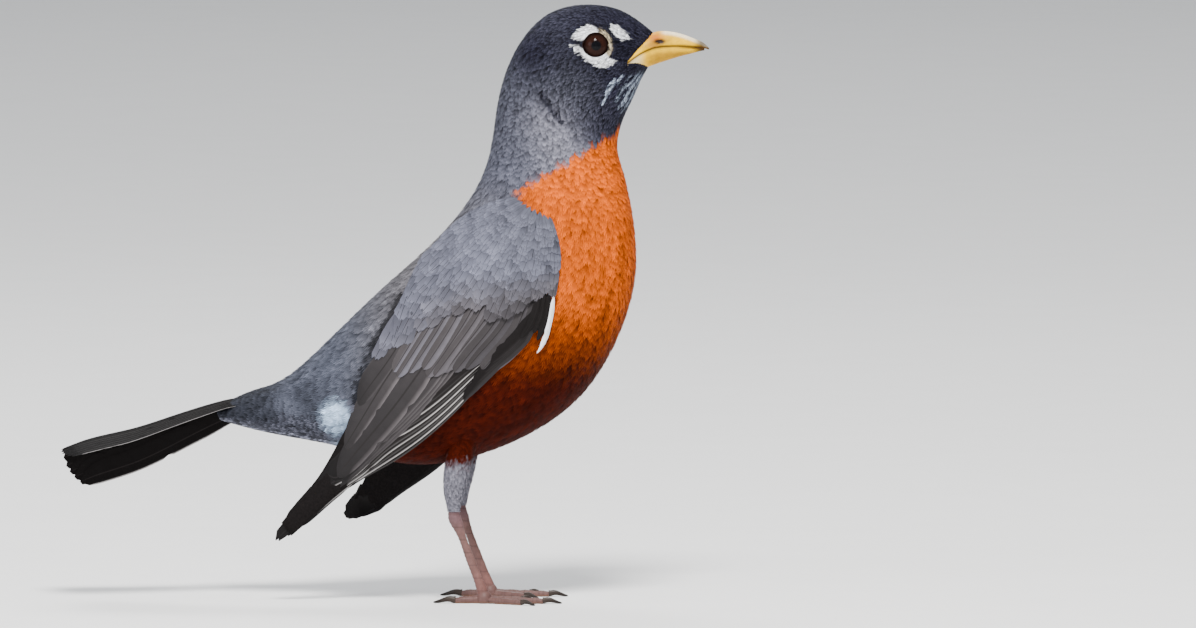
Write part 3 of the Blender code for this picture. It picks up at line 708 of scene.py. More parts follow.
def inside_by(x, z, outline):
    """How far inside a closed outline places lie; outside it the distance is less than 0."""
    inside = np.zeros(len(x), bool)
    nearest = np.full(len(x), 1e9)
    for (x0, z0), (x1, z1) in zip(outline, np.roll(outline, -1, axis=0)):
        nearest = np.minimum(nearest, off_line(x, z, x0, z0, x1, z1))
        crosses = (z0 > z) != (z1 > z)
        inside ^= crosses & (x < (x1 - x0) * (z - z0) / (z1 - z0 if z1 != z0 else 1e-9) + x0)
    return np.where(inside, nearest, -nearest)


def within(x, z, outline, soft=0.3):
    """1 inside a closed outline and 0 outside it, with a soft edge."""
    return ramp(-soft, soft, inside_by(x, z, outline))


def off_line(x, z, x0, z0, x1, z1):
    """Distance from a stretch of straight line."""
    run_x, run_z = x1 - x0, z1 - z0
    share = np.clip(((x - x0) * run_x + (z - z0) * run_z) / (run_x**2 + run_z**2), 0, 1)
    return np.hypot(x - x0 - run_x * share, z - z0 - run_z * share)


def painted(base, colour, share):
    """Colours with another laid over them."""
    return base + (np.asarray(colour) - base) * np.clip(share, 0, 1)[:, None]


def layered(base, count, *coats):
    """One colour for each of many points, with others laid over it in turn, each by its share."""
    tint = np.tile(base, (count, 1))
    for colour, share in coats:
        tint = painted(tint, colour, share)
    return tint


class Tints:
    """The colours of the feathers' vanes and of their edges, on which marks are laid."""

    def __init__(self, vane, edge):
        self.vane, self.edge = vane, edge

    def mark(self, share, vane, edge):
        """Lays a colour over the vanes and another over their edges."""
        self.vane, self.edge = painted(self.vane, vane, share), painted(self.edge, edge, share)


def hood_marks(tints, x, z, turn, t, look):
    """Lays the black crown, the greyer cheeks with pale edges, and the slate nape and neck, with
    painted shade on the nape and hind crown.
    """
    slate, crown = look.slate, look.crown
    hood = 1 - ramp(BODY_AT["nape"] + 2, BODY_AT["mid_neck"] + 4, t + 3 * np.cos(turn))
    tints.mark(hood, crown, crown * 2.0)
    # Painted shade: the nape, turned from the light, is darkened.
    nape = bell(turn, 1.9) * bell(t - 0.5 * (BODY_AT["nape"] + BODY_AT["lower_neck"]), 36.0)
    tints.mark(nape, slate * 0.45, slate * 0.8)
    cheek = spot(x, z, CHEEK, 1.15) * (turn > 0.3)
    tints.vane = painted(tints.vane, slate * 0.24, cheek * 0.85)
    tints.edge = painted(tints.edge, slate * 0.62, cheek)
    # Painted shade: the hind crown is darkened.
    tints.mark(spot(x, z, HIND_CROWN_SHADE), crown * 0.7, crown * 1.3)
    pale = bell(off_line(x, z, *PALE_NECK), 7.5) * (turn > 0.5) * (1 - 0.7 * cheek)
    tints.mark(pale, slate * (1.3, 1.25, 1.15), slate * (2.2, 2.1, 1.95))
    ruffled = ramp(0.1, 0.9, np.sin(0.9 * z - 0.55 * x + 1.5 * np.sin(0.23 * x)))
    ruffled = ruffled * spot(x, z, RUFFLES) * 0.55 * (turn > 0.4)
    tints.vane = painted(tints.vane, slate * 0.5, ruffled)


def breast_marks(tints, x, z, turn, t, look):
    """Lays the breast, orange below a slanting line, with painted shade darkening it towards the
    belly and along its front edge low down.
    """
    bib = 138.4 + (x - 50.8) * 0.65 - z + 0.8 * np.sin(x * 1.3) + 0.5 * np.sin(x * 2.9 + 1)
    bib = ramp(-1.2, 1.2, bib) * ramp(44, 50, x)
    flank = ramp(1.15, 1.45, turn) * ramp(BODY_AT["lower_neck"] - 4, BODY_AT["shoulder"], t)
    flank = flank * ramp(-10, 6, x)
    breast = np.where(turn > 1.0, np.maximum(bib, flank), 0.0)
    # Painted shade: lower darkens the underside towards the belly, front the breast's front edge
    # low down.
    lower, front = ramp(108, 70, z - 0.12 * (x - 40)), ramp(70, 83, x) * ramp(132, 100, z)
    belly_shade = look.belly
    tints.mark(
        breast, layered(look.breast, len(x), (belly_shade, np.maximum(lower, 0.5 * front))),
        layered(look.breast * (1.2, 1.3, 1.0), len(x), (belly_shade * 1.5, ramp(110, 70, z))),
    )


def vent_marks(tints, x, z, turn, mantle, look):
    """Lays the white vent, greyer and streaked under the tail, and the dark coverts over it,
    deepened by painted shade over the tail's root and beside it.
    """
    patch = ramp(1.0, 0.45, np.hypot((x + 13.0) / 6.6, (z - 60.5) / 7.1)) * (turn > 0.9)
    cold, slate = look.white * (0.52, 0.68, 0.88), look.slate
    tints.mark(np.maximum(ramp(5, -5, x) * ramp(2.0, 2.5, turn), patch), cold * 0.85, cold)
    under_tail = ramp(-7, -17, x) * ramp(1.2, 1.6, turn) * (1 - patch)
    streak = ramp(-0.3, 0.6, np.cos(turn * 15 + 0.5 * np.sin(x * 0.35)))[:, None]
    below = ramp(2.1, 2.7, turn)[:, None]
    tints.mark(
        under_tail, slate * (0.26 + (0.2 + 0.4 * below) * streak),
        slate * (0.5 + (0.8 + 2.2 * below) * streak),
    )
    # The coverts over the tail and the rump's side are their own dark grey, deepened by painted
    # shade.
    beside = 0.8 * spot(x, z, RUMP_SIDE) * (1 - patch)
    over_tail = np.maximum(ramp(-24, -38, x) * ramp(2.0, 1.6, turn), beside)
    tints.mark(over_tail, mantle * 0.24, mantle * 0.45)


def markings(points, turn, t, look):
    """Colours of vane and edge at points of the body: turn is 0 on the back and pi underneath."""
    turn, out = np.abs(turn), np.abs(points[:, 1])
    x, z = points[:, 0] - LEAN * out, points[:, 2] - LEAN * out
    tints = Tints(layered(look.slate, len(x)), layered(look.slate * 1.5, len(x)))
    hood_marks(tints, x, z, turn, t, look)
    mantle, greyer = look.mantle, look.mantle * (0.62, 0.70, 0.84)
    mantle = mantle + (greyer - mantle) * ramp(12, -14, x)[:, None]
    tints.mark(ramp(BODY_AT["lower_neck"], BODY_AT["upper_back"], t), mantle, mantle * 1.3)
    breast_marks(tints, x, z, turn, t, look)
    # Painted shadow: the back is darkened where it dips under the right wing's upper edge.
    edge_shadow = np.minimum(*(off_line(x, z, *line) for line in WING_EDGE_SHADOW))
    edge_shadow = ramp(2.6, 0.8, edge_shadow) * (points[:, 1] < -10) * (turn < 1.7)
    tints.mark(edge_shadow, mantle * 0.2, mantle * 0.3)
    vent_marks(tints, x, z, turn, mantle, look)
    face_marks(tints, x, z, turn, look)
    return [np.clip(colours, 0.001, 1.0) for colours in (tints.vane, tints.edge)]


def face_marks(tints, x, z, turn, look):
    """Lays the broken eye ring, the spot over the lores, black lores, the streaked chin and painted
    shade along the crease below the ear.
    """
    side = (turn > 0.35) & (turn < 2.9) & (x > 50)
    crown, white = look.crown, look.white
    x, z = x - (EYE[0] - LEAN * EYE_OUT), z - (EYE[2] - LEAN * EYE_OUT)
    lores = np.maximum(spot(x, z, LORES, 1.4), spot(x, z, (0, 0, 9.0)))
    tints.mark(lores * side, crown * 0.55, crown * 1.0)
    chin = ramp(4, 8, x + z * 0.5 + 8.0) * ramp(-8, -11, z) * ramp(-30, -25, z)
    tints.mark(chin, crown * 0.9, crown * 2.2)
    pale = white * (0.60, 0.70, 0.86)
    lines = np.cos((turn + 0.05 * np.sin(z * 0.8)) * THROAT_STREAKS)
    tints.mark(within(x, z, THROAT, 1.2) * ramp(0.75, -0.35, lines), pale * 0.4, pale)
    for *ends, half in CHEEK_STREAKS:
        tints.mark(ramp(half * 2.0, half * 0.6, off_line(x, z, *ends)) * side, pale * 0.5, pale)
    # Painted shade along the crease below the ear coverts.
    *ends, half = EAR_FOLD_SHADE
    fold_shade = ramp(half * 1.6, half * 0.5, off_line(x, z, *ends)) * side
    tints.mark(fold_shade * 0.85, crown * 0.4, crown * 0.6)
    ring, ahead = np.hypot(x / 4.9, z / 4.5), np.degrees(np.arctan2(z, x))
    buff = bell((ring - 1.0) / 0.10, 1.0) * ramp(-62, -40, ahead) * ramp(78, 60, ahead) * side
    tints.mark(buff, look.eye_ring, look.eye_ring)
    marks = [within(x, z, outline) for outline in (UPPER_CRESCENT, LOWER_CRESCENT, LORE_SPOT)]
    tints.mark(np.maximum.reduce(marks) * side, white, white)


# ---------------- feathers in the small

# A vane's two faces meet at its rim at more than this, and are shaded apart.
RIM_ANGLE = math.radians(60)


def vane_mesh(name, profile, lobes, notch, seed):
    """One small feather, a unit long: a thin closed vane, domed on top, with a frayed tip.

    profile gives (place along, half width); the last row is the tip's, whose lobes fan out.
    """
    rng = np.random.default_rng(seed)
    made = []

    def add(s, c, wide, high, edge):
        made.append((s, c, c * wide, high, edge))
        return len(made) - 1

    rows = [[add(0.0, 0.0, 0.0, 0.3, 0.0)]]
    for s, wide in profile[:-1]:
        rows.append([
            add(s, c, wide, 1.0 - 0.75 * c**2, 0.75 * c**2 * s)
            for c in np.linspace(-1, 1, lobes).tolist()
        ])
    base, wide = profile[-1]
    tips = []
    for i, c in enumerate(np.linspace(-1, 1, 2 * lobes - 1).tolist()):
        reach = base + (1 - base) * (1 - abs(c) ** 1.8)
        reach += rng.uniform(-0.03, 0.03)
        if i % 2:
            reach -= notch * rng.uniform(0.7, 1.2)
        tips.append(add(reach, c + rng.uniform(-0.06, 0.06), wide, 0.45, 0.8 if i % 2 else 1.0))

    faces = [(rows[0][0], b, a) for a, b in zip(rows[1], rows[1][1:])]
    faces += grid_faces(np.array(rows[1:]))
    body = rows[-1]
    for i in range(lobes - 1):
        left, notched, right = tips[2 * i : 2 * i + 3]
        low, high = body[i : i + 2]
        faces += [(low, high, notched), (low, notched, left), (high, right, notched)]
    outline = [rows[0][0]] + [row[-1] for row in rows[1:]] + tips[::-1]
    outline += [row[0] for row in rows[:0:-1]]
    hub = add(0.55, 0.0, 0.0, 0.0, 0.4)
    faces += [(hub, b, a) for a, b in zip(outline, outline[1:] + outline[:1])]

    along, across, aside, crown, rim = np.array(made).T
    mesh = bpy.data.meshes.new(name)
    mesh.from_pydata(np.stack([along, aside, 0 * along], axis=-1).tolist(), [], faces)
    solid = bmesh.new()
    solid.from_mesh(mesh)
    # The faces are turned outwards on a domed copy, as a flat one has no inside.
    for vertex, high in zip(solid.verts, crown):
        vertex.co.z = high * 0.1
    bmesh.ops.recalc_face_normals(solid, faces=solid.faces)
    if solid.calc_volume(signed=True) < 0:
        bmesh.ops.reverse_faces(solid, faces=solid.faces)
    for vertex in solid.verts:
        vertex.co.z = 0.0
    solid.to_mesh(mesh)
    solid.free()
    mesh.polygons.foreach_set("use_smooth", [True] * len(mesh.polygons))
    mesh.set_sharp_from_angle(angle=RIM_ANGLE)
    carry(mesh, along=along, across=across, crown=crown, rim=rim)
    return mesh


# Kinds of small feather: rows (place along, half width), lobes across, and their notches' depth.
VANE_KINDS = {
    "soft": (((0.3, 0.34), (0.6, 0.5), (0.74, 0.5)), 5, 0.11),
    "face": (((0.4, 0.42), (0.7, 0.48)), 3, 0.09),
    "loose": (((0.3, 0.3), (0.55, 0.44), (0.66, 0.46)), 5, 0.20),
    "round": (((0.25, 0.36), (0.5, 0.5), (0.72, 0.5), (0.84, 0.44)), 5, 0.05),
}


def vane_collection(kind):
    """Four variants of one kind of small feather, kept out of the scene."""
    label = f"vanes_{kind}"
    if label in bpy.data.collections:
        return bpy.data.collections[label]
    made = bpy.data.collections.new(label)
    profile, lobes, notch = VANE_KINDS[kind]
    for i in range(4):
        mesh = vane_mesh(f"vane_{kind}_{i}", profile, lobes, notch, 10 + i)
        made.objects.link(bpy.data.objects.new(mesh.name, mesh))
    return made


GOLDEN_SHARE = 0.618034  # how far each row of roots is shifted against the one before
STRAY_DOWN, STRAY_ACROSS = 0.35, 0.22  # how far roots stray, in steps between them


def sow(surface, start, end, turns, spacing, seed):
    """Roots evenly over a surface, in rows down it that are filled by area and staggered."""
    rng = np.random.default_rng(seed)
    probe = np.linspace(*turns, 121)
    middle = (probe[1:] + probe[:-1]) / 2
    step_across = probe[1] - probe[0]
    found_t, found_turn = [], []
    t, row = start, 0
    while t < end:
        along, across, _ = slopes(surface, np.full_like(middle, t), middle)
        speed = np.linalg.norm(along, axis=-1)
        gap = spacing(np.full_like(middle, t), middle)
        step = float(np.min(gap / np.maximum(speed, 1e-6)))
        weight = speed * step * np.linalg.norm(across, axis=-1) / gap**2
        total = np.concatenate([[0.0], np.cumsum(weight * step_across)])
        turn = np.interp(np.arange((row * GOLDEN_SHARE) % 1.0, total[-1], 1.0), total, probe)
        found_t.append(t + rng.uniform(-STRAY_DOWN, STRAY_DOWN, len(turn)) * step)
        stray = rng.uniform(-STRAY_ACROSS, STRAY_ACROSS, len(turn))
        found_turn.append(turn + stray / np.maximum(np.interp(turn, middle, weight), 1e-6))
        t += step
        row += 1
    found_t = np.clip(np.concatenate(found_t), start, end)
    return found_t, np.clip(np.concatenate(found_turn), *turns)


def grow_coat(
    name, slot, surface, roots, sizes, rise, colours, unwrap, skin, kind, finish, seed,
    swing=0.0, sway=0.12, flip=1.0, clear=0.0,
):
    """Small feathers on a surface as one piece, laid by geometry nodes, with its bake map.

    swing turns each feather aside and sway is how unevenly they lie; flip is -1 where the surface's
    own outward direction points inwards; clear is how far all of them stay off the skin.
    """
    t, turn = roots
    length, width, fullness = sizes
    rng = np.random.default_rng(seed)
    along, _, out = slopes(surface, t, turn)
    out = out * flip
    lie = unit(along)
    swing = (swing + rng.normal(0, sway, len(t)))[:, None]
    lie = lie * np.cos(swing) + np.cross(out, lie) * np.sin(swing)

    mesh = bpy.data.meshes.new(name)
    mesh.from_pydata(in_frame(surface(t, turn)).tolist(), [], [])
    carry(
        mesh, lie=lie, up=out, size=np.stack([length, width, length], axis=-1) * MM,
        rise=rise * MM, fullness=fullness * MM, plume=colours[0], fringe=colours[1],
        bake_place=np.stack([*unwrap(t, turn), np.zeros(len(t))], axis=-1),
    )
    thing = new_object(name, mesh)
    layer = thing.modifiers.new("Feathers", "NODES")
    layer.node_group = lay_feathers_tree()
    sockets = {
        item.name: item.identifier for item in layer.node_group.interface.items_tree
        if item.item_type == "SOCKET" and item.in_out == "INPUT"
    }
    vanes = vane_collection(kind)
    for label, value in (
        ("Vanes", vanes), ("Kinds of vane", len(vanes.objects)), ("Skin", skin),
        ("Clear of skin", clear * MM), ("Seed", seed), ("Finish", finish),
    ):
        layer[sockets[label]] = value
    settle(thing)
    unwrap_feathers(thing.data)
    finish_piece(thing, slot)


BAKE_PATCH = 0.003  # width of a small feather's patch of the bake map


def write_bake_map(mesh, places):
    """The OFBake map, from the place on it of each point."""
    corners = np.zeros(len(mesh.loops), np.int32)
    mesh.loops.foreach_get("vertex_index", corners)
    layer = mesh.uv_layers.new(name="OFBake")
    layer.uv.foreach_set("vector", places[corners].astype(np.float32).ravel())


def unwrap_feathers(mesh):
    """Gives each small feather a patch of the bake map at its root's place on the skin's unwrap."""
    place = read_attribute(mesh, "bake_place", 3)[:, :2]
    along, across = (read_attribute(mesh, name, 1)[:, 0] for name in ("along", "across"))
    spot = place + np.stack([along - 0.5, across * 0.5], axis=-1) * BAKE_PATCH
    write_bake_map(mesh, np.clip(spot, 0, 1))
    for spare in ("bake_place", "lie", "up", "size"):
        mesh.attributes.remove(mesh.attributes[spare])


# ---------------- quills

VANE_THICKNESS = 0.13
SPLITS = 3  # nicks in each large feather's edges
STRIPS_PER_ROW = 4  # strips of the bake map side by side for each row of them
# Kinds of large feather: the share of its length that rounds off, rows and columns of points, how
# far its middle arches, and whether its whole outer vane is pale and not just its edges.
QUILL_KINDS = {
    "primary": (0.28, 34, 11, 0.06, False),
    "secondary": (0.22, 28, 9, 0.10, False),
    "tertial": (0.26, 34, 13, 0.25, False),
    "greater_covert": (0.34, 24, 13, 0.35, True),
    "primary_covert": (0.35, 20, 9, 0.35, True),
    "wrist": (0.50, 16, 7, 0.35, False),
    "tail": (0.16, 34, 9, 0.15, False),
}


def quill(surface, kind, line, outer, inner, lifts, seed):
    """Points, faces and measures of one large feather laid on a surface.

    line is a table of places on the surface that the shaft passes through, from root to tip; outer
    and inner are the widths of its two vanes, the outer one towards greater second coordinates;
    lifts are its heights over the surface at root and tip.
    """
    tip, rows, columns, camber, pale_vane = QUILL_KINDS[kind]
    rng = np.random.default_rng(seed)
    line = np.array(line, float)
    s = 1 - (1 - np.linspace(0, 1, rows)) ** 1.25
    place = Spline(np.linspace(0, 1, len(line)), line)(s)
    c = np.linspace(-1, 1, columns)
    round_off = np.sqrt(np.clip(1 - np.clip((s - 1 + tip) / tip, 0, 1) ** 2.2, 0, 1))
    profile = np.maximum((0.35 + 0.65 * ramp(0, 0.3, s)) * round_off, 0.03)
    split = np.ones((rows, columns))
    for _ in range(SPLITS):
        row, side = rng.integers(rows // 3, rows - 2), rng.choice((0, columns - 1))
        split[row, side] = rng.uniform(0.72, 0.88)
    wide = np.where(c > 0, outer, inner) * c * profile[:, None] * split
    t, level = (np.repeat(place[:, i : i + 1], columns, axis=1) for i in (0, 1))
    apart = surface(t, level + PROBE) - surface(t, level - PROBE)
    level = level + wide / (np.linalg.norm(apart, axis=-1) / (2 * PROBE))
    lift = lifts[0] + (lifts[1] - lifts[0]) * s[:, None]
    arch = camber * (1 - c**2) * profile[:, None]
    arch = arch + 0.3 * camber * np.exp(-((c / 0.12) ** 2)) * (1 - s[:, None])
    top, bottom = (surface(t, level, lift + arch - deep) for deep in (0, VANE_THICKNESS))
    # Pale-vaned feathers darken towards their inner vane: partly their own dark centre, partly
    # painted shade beside the edge of the feather over them.
    if pale_vane:
        rim = 0.8 * ramp(-0.35, 0.6, c) + 0.2 * ramp(0.8, 1.0, c)
    else:
        rim = np.where(c > 0, c, -0.7 * c) * ramp(1.0, 1 - tip * 0.5, s)[:, None]

    # The two faces share the points of the outline and have their own inside it.
    grid = np.arange(rows * columns).reshape(rows, columns)
    under = grid.copy()
    under[1:-1, 1:-1] = grid.size + np.arange((rows - 2) * (columns - 2)).reshape(rows - 2, -1)
    points = np.concatenate([top.reshape(-1, 3), bottom[1:-1, 1:-1].reshape(-1, 3)])
    sheets = zip(grid_faces(grid), grid_faces(under, turned=True))

    def both(values):
        values = values * np.ones((rows, columns))
        return np.concatenate([values.ravel(), values[1:-1, 1:-1].ravel()])

    measures = {"along": both(s[:, None]), "across": both(c[None, :]), "rim": both(rim)}
    return points, [face for pair in sheets for face in pair], measures


def join_quills(name, node, quills, finish):
    """Large feathers joined in one closed mesh, with a strip of the bake map each.

    Each comes with its vane's and its edge's colour and how much they darken to the tip.
    """
    strips = int(math.ceil(math.sqrt(len(quills) / STRIPS_PER_ROW)))
    across_map = strips * STRIPS_PER_ROW
    carried, places = [], []
    for index, ((_, _, measures), vane, edge, fade) in enumerate(quills):
        light = (1 - fade * measures["along"])[:, None]
        carried.append({**measures, "plume": vane * light, "fringe": edge * light})
        row, column = divmod(index, across_map)
        places.append(np.stack([
            (column + 0.5 + 0.42 * measures["across"]) / across_map,
            (row + 0.04 + 0.92 * measures["along"]) / strips,
        ], axis=-1))
    mesh = mesh_from(name, *joined(shape for shape, *_ in quills), finish)
    mesh.set_sharp_from_angle(angle=RIM_ANGLE)
    carry(mesh, **{key: np.concatenate([each[key] for each in carried]) for key in carried[0]})
    write_bake_map(mesh, np.concatenate(places))
    finish_piece(new_object(name, mesh), "flight_feathers", node)


# ---------------- skin and coat

SKIN_GRID, THIGH_GRID = (170, 112), (40, 32)  # rows of points down the skin, and points round it
# How deep the skin lies under the coat's surface, down the body.
COAT_DEPTH = {
    "bill_base": 0.5, "lores": 0.7, "forehead": 0.9, "crown": 1.1, "hind_crown": 1.3, "nape": 1.6,
    "upper_neck": 2.0, "lower_neck": 2.4, "upper_back": 2.6, "loins": 2.4, "rump": 1.9,
    "coverts": 1.3, "tail_root": 0.8, "coverts_tip": 0.4,
}
# Distance between feather roots down the body, for a spacing of 1 on the trunk.
COAT_SPACING = {
    "bill_base": 0.46, "lores": 0.46, "forehead": 0.48, "crown": 0.56, "hind_crown": 0.62,
    "nape": 0.70, "lower_neck": 0.86, "shoulder": 1.0, "loins": 1.0, "rump": 0.9,
    "coverts_tip": 0.9,
}


def down_body(table, t):
    """A value between those a table names for the body's stations."""
    return np.interp(t, [BODY_AT[name] for name in table], list(table.values()))


def skin_surface(t, turn, lift=0.0):
    """Points of the skin."""
    return body_surface(t, turn, lift - down_body(COAT_DEPTH, t))


def coat_bed(t, turn, lift=0.0):
    """Half way up from the skin, where the feathers' free parts begin."""
    return body_surface(t, turn, lift - 0.5 * down_body(COAT_DEPTH, t))


def thigh_surface(way):
    """The skin of a thigh (way -1 is the right one), its top well inside the trunk."""
    return tube_surface(THIGH_ROOT + THIGH, way * LEG_SPACING, THIGH_FLATNESS)


def ring_grid(surface, start, end, rows, sides, lift=0.0):
    """Rings of points down a surface, and the place of each."""
    t, turn = np.meshgrid(
        np.linspace(start, end, rows), np.linspace(-math.pi, math.pi, sides, endpoint=False),
        indexing="ij",
    )
    return surface(t, turn, lift), t, turn


def eye_frame(way):
    """The middle of an eyeball, and its directions ahead, up and out (way -1 is the right eye)."""
    out = unit(np.array([0.14, way, 0.03]))
    up = unit(np.array([0.0, 0.0, 1.0]) - out * out[2])
    ahead = np.cross(up, out) * -way
    return np.array([EYE[0], way * EYE[1], EYE[2]]), ahead, up, out


# A lid's section: how far outside the opening, and how high over the eyeball, from its margin out
# to its foot in the skin and back below; its first two points and its last are the dark margin.
LID_SECTION = (
    (0.00, 0.06), (0.10, 0.34), (0.42, 0.52), (0.85, 0.42), (1.6, -0.1), (2.4, -1.0), (1.6, -1.3),
    (0.35, -0.5),
)
LID_ROWS = 72


def lid_ring(way):
    """Eyelids: a soft ring round the opening, from the eyeball out to a foot in the skin."""
    centre, ahead, up, out = eye_frame(way)
    rings = []
    for i in range(LID_ROWS):
        turn = math.tau * i / LID_ROWS
        crease = 1 + 0.05 * math.sin(turn * 18)
        for away, high in LID_SECTION:
            wide, tall = (half + away for half in EYE_OPENING)
            base = math.sqrt(EYE_RADIUS**2 - min(EYE_OPENING[0] + min(away, 0.6), 4.6) ** 2)
            rings.append(
                centre + ahead * (wide * math.cos(turn)) + up * (tall * math.sin(turn))
                + out * (base + high * crease)
            )
    grid = np.arange(len(rings)).reshape(LID_ROWS, -1)
    return np.array(rings), grid_faces(np.vstack([grid, grid[:1]]), closed=True)


def skin_piece(look):
    """One skin over head, neck, trunk, rump and thighs, closed, with its lids."""
    finish = finish_called(SKIN_FINISH, skin_material)
    rings, t, turn = ring_grid(skin_surface, 0.0, BODY_LINE.knots[-1] - 0.5, *SKIN_GRID)
    points, faces = tube(rings)
    tint, _ = markings(
        points, np.append(turn, (0.0, 0.0)), np.append(t, (t[0, 0], t[-1, 0])), look
    )
    skin = new_object("skin", mesh_from("skin", points, faces, finish))
    places, tints = [points], [tint]
    for way in (-1, 1):
        surface, end = thigh_surface(way)
        points, faces = tube(ring_grid(surface, 0.0, end, *THIGH_GRID, -0.5)[0])
        helper = new_object("thigh", mesh_from("thigh", points, faces, finish))
        join = skin.modifiers.new("Thigh", "BOOLEAN")
        join.operation, join.solver, join.object = "UNION", "EXACT", helper
        settle(skin)
        bpy.data.objects.remove(helper)
        places.append(points)
        tints.append(np.tile(look.stocking, (len(points), 1)))
    # Each point of the joined skin takes the colour of the nearest point that went into it.
    places, tints = in_frame(np.concatenate(places)), np.concatenate(tints)
    tree = KDTree(len(places))
    for index, place in enumerate(places):
        tree.insert(place, index)
    tree.balance()
    carry(skin.data, plume=tints[[tree.find(vertex.co)[1] for vertex in skin.data.vertices]])
    add_lids(skin.data, look)
    return skin


def add_lids(mesh, look):
    """Adds both eyelids to the skin's mesh, in the colours of the head round them."""
    solid = bmesh.new()
    solid.from_mesh(mesh)
    layer = solid.verts.layers.float_color["plume"]
    for way in (-1, 1):
        points, faces = lid_ring(way)
        tint, _ = markings(points, np.full(len(points), 1.2), np.full(len(points), 30.0), look)
        tint.reshape(LID_ROWS, -1, 3)[:, (0, 1, -1)] = look.iris
        verts = [solid.verts.new(point) for point in in_frame(points)]
        for vertex, colour in zip(verts, tint):
            vertex[layer] = (*colour, 1.0)
        lids = [solid.faces.new([verts[i] for i in face]) for face in faces]
        bmesh.ops.recalc_face_normals(solid, faces=lids)
    solid.to_mesh(mesh)
    solid.free()
    mesh.polygons.foreach_set("use_smooth", [True] * len(mesh.polygons))


def target_mesh(name, surface, start, end, sides, span=(-math.pi, math.pi), rows=150, flip=1.0):
    """A hidden sheet of a surface, for feathers to lie against; removed once they do."""
    t, turn = np.meshgrid(np.linspace(start, end, rows), np.linspace(*span, sides), indexing="ij")
    faces = grid_faces(np.arange(t.size).reshape(rows, sides))
    mesh = bpy.data.meshes.new(name)
    mesh.from_pydata(in_frame(surface(t, turn).reshape(-1, 3)).tolist(), [], faces)
    middle = mesh.polygons[len(faces) // 2]
    _, _, out = slopes(surface, t[rows // 2, sides // 2], turn[rows // 2, sides // 2])
    if np.dot(np.array(middle.normal), out) * flip < 0:
        mesh.flip_normals()
    return new_object(name, mesh)


def under_wing(points, margin):
    """Which points a closed wing hides, well inside its edge."""
    edge = np.linspace(4.0, WING_AT["tertials"], 30)
    upper, lower = wing_surface(edge, 0.0), wing_surface(edge, 1.0)
    outline = np.concatenate([upper[:, (0, 2)], lower[::-1, (0, 2)]])
    return inside_by(points[:, 0], points[:, 2], outline) > margin


LID_REACH = 4.55  # no feather grows nearer to the middle of the eye
WING_MARGIN = 5.0  # nor under the wing further than this inside its edge
VISIBLE_FROM = 0.62  # share of a small feather's length at the middle of what shows of it
# Pieces of the coat: first and last station, kind of vane, seed, slot.
COAT_PIECES = {
    "feathers_face": ("bill_base", "crown", "face", 3, "crown_feathers"),
    "feathers_crown": ("crown", "nape", "face", 5, "crown_feathers"),
    "feathers_neck": ("nape", "lower_neck", "soft", 7, "slate_feathers"),
    "feathers_breast": ("lower_neck", "upper_back", "loose", 11, "breast_feathers"),
    "feathers_flanks": ("upper_back", "lower_back", "loose", 13, "breast_feathers"),
    "feathers_belly": ("lower_back", "vent", "loose", 17, "breast_feathers"),
    "feathers_rump": ("vent", "coverts_tip", "soft", 19, "rump_feathers"),
}


def round_the_eye(points, lie, out, from_eye):
    """How much feathers before the eye part round it, and how far that swings each aside."""
    radial = unit((points - (EYE[0], 0, EYE[2])) * (1, 0, 1))
    inward = np.einsum("ij,ij->i", lie, radial)
    part = np.where(inward < 0, bell(from_eye - 4.5, 4.0), 0.0) * np.abs(inward)
    around = np.einsum("ij,ij->i", np.cross(out, lie), radial)
    return part, part * 1.25 * np.where(around > 0, 1, -1)


